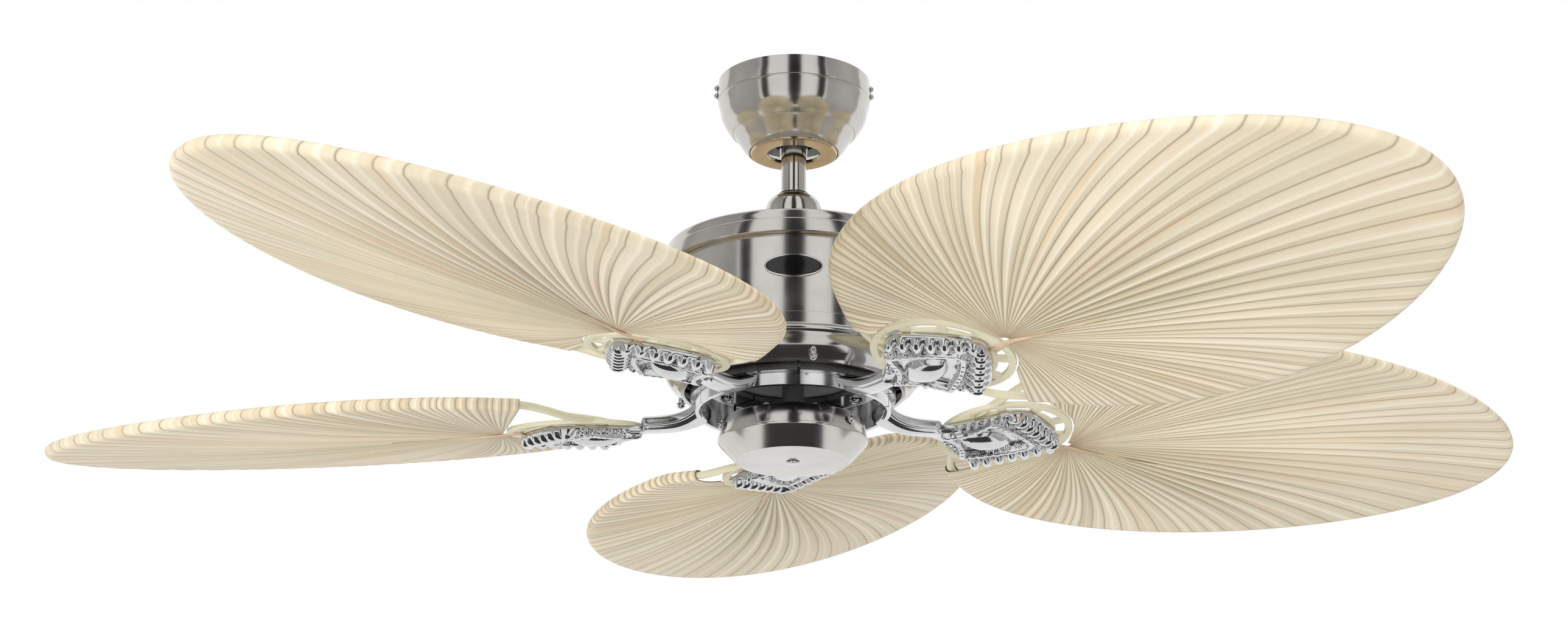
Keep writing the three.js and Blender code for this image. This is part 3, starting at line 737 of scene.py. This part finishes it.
for i, azimuth in enumerate(NUT_AZIMUTHS, 1):
    piece = copied(nut, f"cap_nut_{i}", about(azimuth) @ shift(NUT_RING_R, 0, 0))
    mount(piece, "hanging_motor", *BRIGHT, f"acorn_nut_{i}")
removed(nut)

# %% [markdown]
# ## The five blades share one frame of reference
# Each blade has its own plane: u runs outwards, v sideways, w up from the blade's underside. The
# pitch, the slight rise and the azimuth of each blade come from the photograph, and one matrix
# takes a piece from its own plane to the fan.

# %% Blade planes
FIRST_AZIMUTH = -124.8
AZIMUTH_TRIM = (0.5, -0.4, 0, -0.2, 0.15)
BLADE_PITCH = (-10.42, -11.84, -9.9, -10.89, -9.92)
CONING = (0.45, 0.9, 1.02, 2.35, 0.4)
BLADE_Z = -291.5


def azimuth_of(i):
    return FIRST_AZIMUTH + AZIMUTH_TRIM[i] + 72 * i


def blade_matrix(i):
    g, a = math.radians(CONING[i]), math.radians(BLADE_PITCH[i])
    u = Vector((math.cos(g), 0, math.sin(g)))
    w = u.cross(Vector((0, math.cos(a), math.sin(a)))).normalized()
    v = w.cross(u)
    m = Matrix((u, v, w)).transposed().to_4x4()
    m.translation = (0, 0, BLADE_Z * MM)
    return about(azimuth_of(i)) @ m


# %% [markdown]
# ## The blade irons
# Each iron is a casting: a rough sector that bolts under the rotor, a polished skirt, a ridged swan
# neck and a kite-shaped plate full of ornament. The ornament is low relief, so it is made as a
# field of heights over the plate: an almond boss, a ticked scroll round it, curls of leaf between
# them and a row of pear-shaped lobes along the two outer edges.

# %% The outline of the ornamental plate
KITE = [(121, -7), (140, -12), (152, -30), (170, -44), (178, -49), (186, -48), (192, -44),
        (206, -34), (222, -20), (230, -8), (233, -3), (233, 3), (229, 8), (220, 20), (206, 34),
        (192, 44), (186, 48), (178, 49), (170, 44), (152, 30), (140, 12), (121, 7)]


def bezier_path(points, count):
    """Points along joined Bezier curves; every third point given is where two of them meet."""
    p = np.asarray(points, float)
    t = np.linspace(0, 1, count, endpoint=False)[:, None]
    return np.concatenate([
        (1 - t) ** 3 * a + 3 * t * (1 - t) ** 2 * b + 3 * t * t * (1 - t) * c + t ** 3 * d
        for a, b, c, d in (p[i:i + 4] for i in range(0, len(p) - 1, 3))])


kite = bezier_path(KITE, 24)


def ray_to_outline(outline, centre, angles):
    """Distance from a centre to a closed outline along each direction."""
    a, b = outline - centre, np.roll(outline, -1, axis=0) - centre
    out = np.zeros(len(angles))
    for k, t in enumerate(angles):
        d = np.array((math.cos(t), math.sin(t)))
        e = b - a
        den = d[0] * e[:, 1] - d[1] * e[:, 0]
        ok = np.abs(den) > 1e-9
        s = np.where(ok, (a[:, 0] * e[:, 1] - a[:, 1] * e[:, 0]) / np.where(ok, den, 1), -1)
        q = np.where(ok, (a[:, 0] * d[1] - a[:, 1] * d[0]) / np.where(ok, den, 1), -1)
        hit = ok & (q >= -1e-6) & (q <= 1 + 1e-6) & (s > 0)
        out[k] = s[hit].min()
    return out


# %% The relief as heights above the plate, in millimetres
def nearest(u, v, line):
    """Distance to a polyline and the running place of the nearest point on it."""
    flat = np.stack([u.ravel(), v.ravel()], 1)
    d2 = ((flat[:, None, :] - line[None]) ** 2).sum(2)
    k = d2.argmin(1)
    return np.sqrt(d2[np.arange(len(k)), k]).reshape(u.shape), (k / len(line)).reshape(u.shape)


def lobe(u, v, at, deg, long, short, high, pear=0):
    """A rounded drop; pear makes one end wider than the other."""
    c, s = math.cos(math.radians(deg)), math.sin(math.radians(deg))
    x, y = (u - at[0]) * c + (v - at[1]) * s, (v - at[1]) * c - (u - at[0]) * s
    x = x / long
    y = y / (short * (1 + pear * np.clip(x, -1, 1)))
    return high * np.clip(1 - x * x - y * y, 0, None) ** 0.66


def row_places(row, count, side):
    """Evenly spaced (share, place) pairs along a row on one side of the middle line."""
    (u0, v0), (u1, v1) = row
    shares = [k / (count - 1) for k in range(count)]
    return [(t, (u0 + (u1 - u0) * t, side * (v0 + (v1 - v0) * t))) for t in shares]


SCROLL = [(131, 0), (146, -3), (154, -16), (160, -32), (176, -24), (190, -20), (208, -3), (209, -1)]
SCROLL += [(u, -v) for u, v in SCROLL[::-1]]
scroll = bezier_path(SCROLL, 40)

LOBES, CURLS, FLUTES, TICKS = 7, 4, 6, 40
LOBE_HIGH, INNER_HIGH, CURL_HIGH, FLUTE_HIGH, BAND_HIGH, BOSS_HIGH = 7, 5, 4.4, 3.4, 5.4, 8.8
BOSS_U, BOSS_LONG, BOSS_WIDE = 167, 24, 14.5
LOBE_TURN, FLUTE_TURN = 52, 128     # degrees off the blade's own direction
# the first and the last place (u, v) of each row, the sizes of what stands in it, and the step
# from a lobe to the smaller one inside it
LOBE_ROW, CURL_ROW, FLUTE_ROW = (((176, 44.5), (227, 3.5)), ((170, 29.5), (204, 5.5)),
                                 ((139, 13.5), (166, 38.5)))
LOBE_SIZE, INNER_SIZE, FLUTE_SIZE, INNER_STEP = (9.6, 5.3), (4.6, 3.6), (4.6, 2.2), (-8.6, -9.6)
CURL_R, CURL_TIGHTER, CURL_TURN, CURL_STARTS, CURL_SOFT = 4, 0.62, 4.2, (2.9, 0.6), 1.3


def relief(u, v):
    h = np.zeros_like(u)
    for s in (-1, 1):
        turn = s * LOBE_TURN
        # pear-shaped lobes along the outer edges, each with a smaller one inside it
        for t, at in row_places(LOBE_ROW, LOBES, s):
            scale = 1 - 0.1 * abs(t - 0.45)
            long, short = (scale * size for size in LOBE_SIZE)
            h = np.maximum(h, lobe(u, v, at, turn, long, short, LOBE_HIGH, 0.22))
            at = (at[0] + INNER_STEP[0], at[1] + s * INNER_STEP[1])
            long, short = (scale * size for size in INNER_SIZE)
            h = np.maximum(h, lobe(u, v, at, turn, long, short, INNER_HIGH, -0.2))
        # curled leaves between scroll and lobes
        for k, (_, middle) in enumerate(row_places(CURL_ROW, CURLS, s)):
            a = np.linspace(0, CURL_TURN, 24)
            r = CURL_R - CURL_TIGHTER * a
            a = a + CURL_STARTS[k % 2]
            curl = middle + np.stack([r * np.cos(a), s * r * np.sin(a)], 1)
            d, _ = nearest(u, v, curl)
            h = np.maximum(h, CURL_HIGH * np.exp(-(d / CURL_SOFT) ** 2))
        # short flutes on the two inner sides
        for _, at in row_places(FLUTE_ROW, FLUTES, s):
            h = np.maximum(h, lobe(u, v, at, s * FLUTE_TURN, *FLUTE_SIZE, FLUTE_HIGH, 0.2))
    # ticked scroll
    d, place = nearest(u, v, scroll)
    band = BAND_HIGH * np.exp(-(d / 2.9) ** 6)
    tick = 0.5 + 0.5 * np.cos(place * 2 * math.pi * TICKS)
    band -= 0.8 * smooth(0.55, 0.9, tick) * np.exp(-(d / 1.7) ** 4)
    h = np.where(d < 3.3, np.maximum(band, h * 0.2), h)
    # almond boss, pointed at both ends, inside the scroll
    x = (u - BOSS_U) / BOSS_LONG
    half = BOSS_WIDE * np.clip(1 - x * x, 0, None)
    inside = (np.abs(x) < 1) & (np.abs(v) < half)
    y = np.where(inside, v / np.where(half > 0, half, 1), 0)
    boss = BOSS_HIGH * np.sqrt(np.clip(1 - y * y, 0, None)) * np.clip(1 - x * x, 0, None) ** 0.6
    return np.where(inside, np.maximum(boss, 0.9), h)


# %% Ornamental plate as rings from the middle to the scalloped rim
RELIEF_W, WALL_W, BACK_W, WALL_SCALE = -3.2, (-2.4, 0.6), 1.15, 1.012
ORNAMENT_MIDDLE = (176.0, 0.0)


def ornament():
    centre = np.array(ORNAMENT_MIDDLE)
    angles = around(420)
    reach = ray_to_outline(kite, centre, angles)
    shares = np.concatenate([np.linspace(0.004, 0.5, 46), np.linspace(0.5, 1, 74)[1:]])[:, None]
    u = centre[0] + shares * reach * np.cos(angles)
    v = centre[1] + shares * reach * np.sin(angles)
    h = relief(u, v)
    for _ in range(4):     # each round blends a height with its four neighbours'
        h = 0.6 * h + 0.1 * (np.roll(h, 1, 1) + np.roll(h, -1, 1)) + 0.1 * (
            np.vstack([h[:1], h[:-1]]) + np.vstack([h[1:], h[-1:]]))
    low = np.stack([u, v, RELIEF_W - h], 2)

    def ring(scale, w):
        """The rim drawn in or out about the centre, at one height."""
        places = centre + (low[-1, :, :2] - centre) * scale
        return np.column_stack([places, np.full(len(places), w)])

    rest = [ring(WALL_SCALE, w) for w in WALL_W] + [ring(1, BACK_W), ring(0.3, BACK_W)]
    return from_rings("ornament", np.concatenate([low, np.stack(rest)]), smooth_deg=75)


ornament_pattern = ornament()
print("ornament faces", len(ornament_pattern.data.polygons))

# %% [markdown]
# The neck is lofted from ten stations of one section: a round ridge below, with a fine groove and
# a narrow bead on either side of it, and a flat back above. Subdivision rounds it. The sector is
# a closed profile spun through part of a turn.

# %% Swan neck and the sector that bolts to the rotor
SECTION = [(0, 1), (-0.55, 1), (-0.92, 0.75), (-1, 0.3), (-0.94, -0.22), (-0.82, -0.42),
           (-0.74, -0.4), (-0.62, -0.78), (-0.34, -1), (0, -1.06)]
SECTION += [(-a, b) for a, b in SECTION[-2:0:-1]]
NECK = [(73, -278.4, 20.5, 8.2), (77, -281.4, 18.2, 7.6), (82, -284.2, 15.6, 6.9),
        (87, -286.1, 13.6, 6.7), (93, -287.6, 12, 6.6), (99, -288.4, 11.2, 6.6),
        (106, -288.7, 10.8, 6.5), (113, -288.6, 10.5, 6.4), (120, -288.3, 10.4, 6.3),
        (128.2, -287.8, 10.3, 6.2)]
SECTOR = [(50, -264.4), (75.3, -264.4), (75.5, -264.8), (75.5, -287.6), (75.9, -288), (78.6, -288),
          (79, -287.6), (79, -277.2), (82.7, -277), (83, -276.6), (83, -260.8), (82.6, -260.4),
          (50, -260.4)]
SECTOR_HALF_DEG = 35.3
WALL_R, WALL_BOTTOM = 80, -276.9     # the sector is rough outside this radius and above this height

neck_pattern = from_rings("neck", [[(u, w * a, z + h * b) for a, b in SECTION]
                                   for u, z, w, h in NECK], smooth_deg=80)
rounding = neck_pattern.modifiers.new("round", "SUBSURF")
rounding.levels = rounding.render_levels = 2
apply_all(neck_pattern)
edge = [about(-SECTOR_HALF_DEG) @ Vector((r * MM, 0, z * MM)) for r, z in SECTOR]
sector_pattern = spun("sector", edge, 40, math.radians(2 * SECTOR_HALF_DEG), 30, filled=True)

# %% Five irons with their screws
IRON_SCREW_R, IRON_SCREW_Z, IRON_SCREW_DEG = 65, -266, 18

for i in range(BLADES):
    turn = about(azimuth_of(i))
    parts = [copied(ornament_pattern, "o", blade_matrix(i)), copied(neck_pattern, "n", turn),
             copied(sector_pattern, "s", turn)]
    for p, materials in zip(parts, ([CHROME], [CHROME], [CHROME, ROUGH_CAST])):
        coated(p, *materials)
    for face in parts[2].data.polygons:
        r = math.hypot(face.center.x, face.center.y) / MM
        face.material_index = 1 if r > WALL_R and face.center.z / MM > WALL_BOTTOM else 0
    piece = joined(f"cast_iron_{i + 1}", parts)
    mount(piece, "rotor", "polished_chrome", None, f"blade_iron_{i + 1}")
    for letter, offset in zip("ab", (-IRON_SCREW_DEG, IRON_SCREW_DEG)):
        turn = about(azimuth_of(i) + offset) @ shift(IRON_SCREW_R, 0, IRON_SCREW_Z)
        piece = copied(iron_pattern, f"iron_bolt_{i + 1}{letter}", turn)
        mount(piece, "rotor", *BRIGHT, f"iron_screw_{i + 1}{letter}")
removed(ornament_pattern, neck_pattern, sector_pattern, iron_pattern)

# %% [markdown]
# ## The cream frame and the rim
# Under each leaf is a moulded frame: a round plate with eight arc slots, and a hoop that runs
# round the whole blade. The leaf is wrapped over the hoop. The rim of the blade is described once
# and used by both: how far it lies from the hastula, the point where all the folds start.

# %% The blade's rim, as seen from the hastula
U0, HALF_LONG, HALF_WIDE, SKEW, SKEW2 = 402.4, 257.6, 177.7, 0.176, 0.0127
HASTULA = (247, 9)
HOOP_R, HOOP_INSET, HOOP_LIFT, HOOP_LOW = 3.2, 5.6, 4.6, 0.2
PLATE_U, PLATE_R = 186, 56
LEAF_SPAN = ((-124, 139), (-139, 129), (-124, 139), (-139, 139), (-139, 118))
CAMBER_ACROSS, CAMBER_ALONG = 6.9, 6.5
LOW_FROM, LOW_TO = 34, 62     # the hoop lies low within these degrees of the stalk's direction


def from_hastula(r, theta):
    return HASTULA[0] + r * np.cos(theta), HASTULA[1] + r * np.sin(theta)


def camber(u, v):
    return CAMBER_ACROSS * (v / HALF_WIDE) ** 2 + CAMBER_ALONG * ((u - U0) / HALF_LONG) ** 2


def rim_reach(theta):
    """Distance from the hastula to the hoop's centre line along each direction."""
    lo, hi = np.full_like(theta, 20), np.full_like(theta, 460)
    a, b = HALF_LONG - HOOP_INSET, HALF_WIDE - HOOP_INSET
    for _ in range(40):
        r = (lo + hi) / 2
        u, v = from_hastula(r, theta)
        c = np.clip((u - U0) / a, -1, 1)
        half = b * np.sqrt(1 - c * c) * (1 - SKEW * c + SKEW2 * c * c)
        inside = (np.abs(u - U0) < a) & (np.abs(v) < half)
        lo, hi = np.where(inside, r, lo), np.where(inside, hi, r)
    return lo


def rim(theta):
    """Reach, stretch of a slanted slice, camber at the rim and height of the hoop over it."""
    theta = np.arctan2(np.sin(theta), np.cos(theta))
    end, step = rim_reach(theta), 0.02
    slope = (rim_reach(theta + step) - rim_reach(theta - step)) / (2 * step * end)
    stretch = np.minimum(2, np.hypot(1, slope))
    rise = camber(*from_hastula(end, theta))
    low = 1 - smooth(*np.radians((LOW_FROM, LOW_TO)), np.abs(math.pi - np.abs(theta)))
    lift = HOOP_LIFT + (HOOP_LOW - rise) * low
    return end, stretch, rise, lift


# %% Hoop and slotted plate
def hoop():
    theta = around(260, -math.pi)
    end, stretch, rise, lift = rim(theta)
    a = around(14)
    r = end[:, None] + HOOP_R * np.cos(a)[None] * stretch[:, None]
    w = (rise + lift)[:, None] + HOOP_R * np.sin(a)[None] + 0 * r
    ring = np.stack([*from_hastula(r, theta[:, None]), w], 2)
    return from_rings("hoop", ring, loop=True, smooth_deg=60)


def circle_spline(curve, points):
    spline = curve.splines.new("POLY")
    spline.points.add(len(points) - 1)
    for p, (x, y) in zip(spline.points, points):
        p.co = (x * MM, y * MM, 0, 1)
    spline.use_cyclic_u = True


def arc(r, start, stop, count):
    a = np.radians(np.linspace(start, stop, count))
    return [(PLATE_U + r * math.cos(t), r * math.sin(t)) for t in a]


PLATE_THICK, PLATE_SOFT, PLATE_W = 1.35, 0.4, 3.25
SLOT_OUTER, SLOT_INNER = 50.4, 41.6
SLOTS = ((12, 38), (46, 76), (84, 112), (120, 148))


def slotted_plate():
    """A filled flat curve, a round outline and eight arc slots, given thickness and soft edges."""
    curve = bpy.data.curves.new("plate", "CURVE")
    curve.dimensions, curve.fill_mode = "2D", "BOTH"
    curve.extrude, curve.bevel_depth, curve.bevel_resolution = PLATE_THICK * MM, PLATE_SOFT * MM, 1
    circle_spline(curve, arc(PLATE_R - PLATE_SOFT, 0, 360, 121)[:-1])
    for start, stop in SLOTS:
        for a, b in ((start, stop), (-stop, -start)):
            circle_spline(curve, arc(SLOT_OUTER, a, b, 14) + arc(SLOT_INNER, b, a, 14))
    only(linked("plate", curve))
    bpy.ops.object.convert(target="MESH")
    piece = bpy.context.object
    piece.data.transform(shift(0, 0, PLATE_W))
    return cleaned(piece, smooth_deg=40)


frame_pattern = joined("frame_pattern", [hoop(), slotted_plate()])
for i in range(BLADES):
    piece = copied(frame_pattern, f"cream_frame_{i + 1}", blade_matrix(i))
    mount(piece, "rotor", "cream_plastic", CREAM, f"blade_frame_{i + 1}")
removed(frame_pattern)

# %% [markdown]
# ## The palm leaf
# A fan palm's leaf is a sheet folded like a paper fan about one point, the hastula. Its folds are
# real geometry here: the surface is a polar grid, with a sharp zigzag across the folds, and each
# fold differs a little in width, depth and bend. At the blade's rim the leaf turns up and over
# the hoop. Solidify gives it thickness. The operators have no tool for this, so the points come
# from the formula, with a seeded random draw for each leaf. The UV map counts folds across and
# runs from hastula to rim, so the fibres of the material follow them.

# %% Leaf geometry
FOLDS, PER_FOLD, LEAF_LONG = 84, 6, 500
LEAF_ROWS, ROWS_CROWD = 46, 0.85     # rows of points, closer together toward the hoop
FIRST_SEED = 40
FOLD_WIDTHS, WIDER_AHEAD, FOLD_DEPTHS = (0.62, 1.38), 0.18, (0.55, 1.3)
LEAST_RUN, SETTLE = 11, 60           # of a fold, and the last stretch, where it sinks to the hoop
BEND, LEAN, DRIFT = 0.1, 0.0016, 0.6     # radians, radians and millimetres
FOLD_SLOPE, FOLD_MOST = 0.1, 1.5     # a fold's height over its width, and its limit
WRAP_R, WRAP_TWIST = 4.45, 0.01      # the leaf's own turn round the hoop
WRAP_DEG = (-62, -40, -16, 10, 36, 62, 88, 112, 134, 150)
LEAF_THICK = 0.7


def past_plate(theta):
    """Where a direction leaves the round plate, so that the leaf starts beside it."""
    du, dv, r = HASTULA[0] - PLATE_U, HASTULA[1], PLATE_R + 1.5
    b = du * np.cos(theta) + dv * np.sin(theta)
    c = du * du + dv * dv - r * r
    hit = (b < 0) & (b * b > c)
    return np.where(hit, -b + np.sqrt(np.where(hit, b * b - c, 0)), 3)


def leaf(i):
    """The pleated sheet: rows of points from the hastula to the hoop and then round it."""
    rng = np.random.default_rng(FIRST_SEED + i)
    start_deg, stop_deg = LEAF_SPAN[i]
    cols = FOLDS * PER_FOLD + 1
    x, folds = np.linspace(0, FOLDS, cols), np.arange(FOLDS + 1)
    # folds of uneven width, shared out over the leaf's own span of directions
    even = np.radians(np.linspace(start_deg, stop_deg, FOLDS + 1))
    width = (1 + WIDER_AHEAD * np.cos(even / 2) ** 4) * rng.uniform(*FOLD_WIDTHS, FOLDS + 1)
    warp = np.interp(x, folds, np.cumsum(width))
    warp = (warp - warp[0]) / (warp[-1] - warp[0])
    theta = np.radians(start_deg + (stop_deg - start_deg) * warp)
    end, stretch, rise, lift = rim(theta)
    # where each fold starts, its zigzag, and how its depth, lean and height wander
    bend = BEND * np.sin(math.pi * x / FOLDS) ** 0.7
    first = np.minimum(past_plate(theta - bend), end - LEAST_RUN)
    saw = 1 - 2 * (2 * np.minimum(x % 1, 1 - x % 1)) ** 0.72
    deep = np.interp(x, folds, rng.uniform(*FOLD_DEPTHS, FOLDS + 1))
    lean = np.interp(x, folds, rng.normal(0, 1, FOLDS + 1))
    drift = np.interp(x, np.linspace(0, FOLDS, 12), rng.normal(0, 1, 12))
    rows, vs = [], []
    for share in np.linspace(0, 1, LEAF_ROWS) ** ROWS_CROWD:
        r = first + (end - 2.5 * stretch - first) * share
        gap = r * np.abs(np.gradient(theta)) * PER_FOLD
        height = np.minimum(FOLD_SLOPE * gap, FOLD_MOST) * deep * (1 - 0.85 * smooth(0.5, 1, share))
        sway = lean * LEAN * math.sin(3.1 * share + 0.4) * (1 - share) * 4 / math.pi
        swing = theta - bend * (1 - share ** 2) + sway
        u, v = from_hastula(r, swing)
        w = camber(u, v) + smooth(end - SETTLE, end, r) * (lift - HOOP_LIFT)
        w = w + height * saw + DRIFT * drift * math.sin(math.pi * share)
        rows.append(np.stack([u, v, w], 1))
        vs.append(r / LEAF_LONG)
    bead = 1.02 - 0.018 * saw * deep
    for deg in WRAP_DEG:
        a, gone = math.radians(deg), smooth(WRAP_DEG[0], WRAP_DEG[-1], deg)
        rr = (WRAP_R + 0.25 * smooth(100, 150, deg)) * bead
        r, t = end + rr * math.cos(a) * stretch, theta + WRAP_TWIST * gone
        rows.append(np.stack([*from_hastula(r, t), rise + lift + rr * math.sin(a)], 1))
        vs.append((end + 10 * gone) / LEAF_LONG)
    piece = from_rings(f"leaf_{i + 1}", np.stack(rows), smooth_deg=180, sheet=True)
    return piece, cols, np.concatenate([np.broadcast_to(v, cols) for v in vs])


def unwrap(piece, cols, along):
    """UV: fold number across, distance from the hastula along. Points are stored row by row."""
    mesh = piece.data
    layer = mesh.uv_layers.new(name="folds")
    index = np.empty(len(mesh.loops), dtype=np.int32)
    mesh.loops.foreach_get("vertex_index", index)
    uv = np.stack([(index % cols) / PER_FOLD, along[index]], 1)
    layer.data.foreach_set("uv", uv.ravel().astype(np.float32))


# %% [markdown]
# ## Palm leaf finish
# Dried leaf is straw-coloured, with long fibres, a few tan or orange ribs and a pinkish base at the
# hastula. A painted highlight makes the ridges paler, and painted shade makes the folds darker down
# in them, where they are also greener. Every mask but the broad green patches is read from the
# leaf's UV map: across for the folds, along for the fibres.

# %% Leaf material
MIDDLE_FOLD = 45     # the fold next to the stalk end, where folds lie bundled and green
STRAW, FIBRE, OLIVE, MOSS, TAN = ((0.9, 0.8, 0.62), (0.64, 0.5, 0.32), (0.34, 0.31, 0.17),
                                  (0.62, 0.58, 0.38), (0.8, 0.55, 0.32))
# the valley and crease colours are painted shade, the ridge colour a painted highlight
ROOT, VALLEY_SHADE, CREASE_SHADE, RIDGE_HIGHLIGHT, BASE = ((0.5, 0.43, 0.27), (0.27, 0.21, 0.11), (0.24, 0.16, 0.09),
                                     (1, 0.93, 0.76), (0.46, 0.28, 0.16))
# painted light and shade across one fold, from crease to crease
FOLD_LIGHT_AND_SHADE = [(0, (0.6, 0.49, 0.33)), (0.06, (0.81, 0.7, 0.52)), (0.4, (0.87, 0.76, 0.58)),
                (0.48, (0.97, 0.88, 0.69)), (0.55, (0.97, 0.86, 0.66)), (0.61, (0.74, 0.62, 0.43)),
                (0.9, (0.83, 0.72, 0.54)), (1, (0.6, 0.49, 0.33))]
FOLD_TONES = [(0, (0.55, 0.45, 0.28)), (0.3, (0.82, 0.72, 0.54)), (0.7, (0.97, 0.89, 0.71)),
              (1, (0.84, 0.66, 0.45))]


def palm_finish():
    m, shader, coords = finish("palm_leaf")
    uv = node(m.node_tree, "ShaderNodeUVMap", uv_map="folds").outputs[0]
    across, along, _ = node(m.node_tree, "ShaderNodeSeparateXYZ", [(0, uv)]).outputs
    phase = calc("FRACT", across)
    crease = times(calc("ABSOLUTE", minus(phase, 0.5)), 2)
    fold_tone = node(m.node_tree, "ShaderNodeTexWhiteNoise", [("W", calc("FLOOR", across))],
                     noise_dimensions="1D")
    own = fold_tone.outputs["Value"]
    fibres = noise(stretched(uv, (9, 7, 1)), 1, 5, 0.7)
    one_fold = noise(stretched(uv, (0.9, 1.4, 1)), 1, 2, 0.6)
    broad = noise(coords, 8, 3, 0.5)
    far, near = span(along, 0.26, 0.6), span(along, 0.44, 0.03)
    middle = calc("ABSOLUTE", minus(across, MIDDLE_FOLD))
    bundle = times(times(span(middle, 7, 1.5), span(along, 0.72, 0.3)), 0.62)
    ridge = calc("POWER", minus(1, crease), 6)
    # painted light and shade across a fold: dark crease, lit side, painted highlight on the
    # ridge, shaded side, dark crease; it fades outwards
    shade = mix_colour(times(far, 0.5), ramp(phase, FOLD_LIGHT_AND_SHADE), STRAW)
    for mask, tone in (
            (span(fibres, 0.3, 0.5, 0.42, 0), FIBRE),
            # each fold has a tone of its own
            (minus(0.5, times(far, 0.3)), ramp(own, FOLD_TONES)),
            # green bundle in the middle, green patches, tan ribs
            (times(bundle, plus(0.35, times(crease, 0.65))), OLIVE),
            (times(span(broad, 0.46, 0.7), 0.3), MOSS),
            (times(span(one_fold, 0.56, 0.68), 0.42), TAN),
            # darker towards the hastula, and painted shade down in the folds, most of all near the
            # hastula
            (times(times(near, near), 0.52), ROOT),
            (times(calc("POWER", crease, 2.4), times(near, 0.88)), VALLEY_SHADE),
            # a painted shadow line in each crease, a painted highlight on each ridge, and the
            # pinkish base
            (times(calc("POWER", crease, 16), plus(0.5, times(own, 0.45))), CREASE_SHADE),
            (times(ridge, own), RIDGE_HIGHLIGHT),
            (times(span(along, 0.07, 0.012), 0.5), BASE)):
        shade = mix_colour(mask, shade, tone)
    feed(shader, {"Base Color": shade, "Roughness": span(fibres, 0, 1, 0.42, 0.62),
                  "Normal": bumped(plus(fibres, times(ridge, 0.6)), 0.4, 0.0004)})
    return m


PALM = palm_finish()

# %% Make the five leaves
for i in range(BLADES):
    piece, cols, along = leaf(i)
    unwrap(piece, cols, along)
    piece.data.transform(blade_matrix(i))
    thickness = piece.modifiers.new("thickness", "SOLIDIFY")
    thickness.thickness, thickness.offset = LEAF_THICK * MM, 0
    apply_all(piece)
    piece.name = piece.data.name = f"pleated_leaf_{i + 1}"
    mount(piece, "rotor", "palm_leaf", PALM, f"palm_leaf_{i + 1}")
    print(piece.name, len(piece.data.polygons), "faces")

# %% [markdown]
# Under the edge of each frame the leaf's own stalk end shows: a short flat tongue, pink-brown, that
# runs on as a raised rib into the leaf.

# %% Stalk ends
STALK = moulded("leaf_stalk", (0.5, 0.34, 0.22), (0.8, 0.62, 0.43), 0.45, 0.65, 0.5, 420)
TONGUE = [(226, 15.5, 4.2, 0.3), (234, 14, 4, 0.2), (243, 12.2, 3.2, 0),
          (252, 12.4, 2.2, 0), (264, 14.8, 1.5, 0), (278, 18, 1.1, 0),
          (296, 20.2, 0.8, 0), (313, 22, 0.6, 0), (338, 26, 0.3, 0)]
TONGUE_HIGH = 1.1

for i in range(BLADES):
    rings = []
    turn = around(12)
    for k, (u, v, half, drop) in enumerate(TONGUE):
        near_k, far_k = TONGUE[max(k - 1, 0)], TONGUE[min(k + 1, len(TONGUE) - 1)]
        run = np.array((far_k[0] - near_k[0], far_k[1] - near_k[1]))
        across = np.array((-run[1], run[0])) / np.hypot(*run)
        w = float(camber(np.array(u), np.array(v))) - TONGUE_HIGH - drop
        high = min(half, TONGUE_HIGH)
        du, dv = across[0] * half * np.cos(turn), across[1] * half * np.cos(turn)
        rings.append(np.stack([u + du, v + dv, w + high * np.sin(turn)], 1))
    piece = from_rings(f"leaf_stalk_{i + 1}", rings, smooth_deg=60)
    piece.data.transform(blade_matrix(i))
    mount(piece, "rotor", "palm_leaf", STALK)
    print(piece.name)
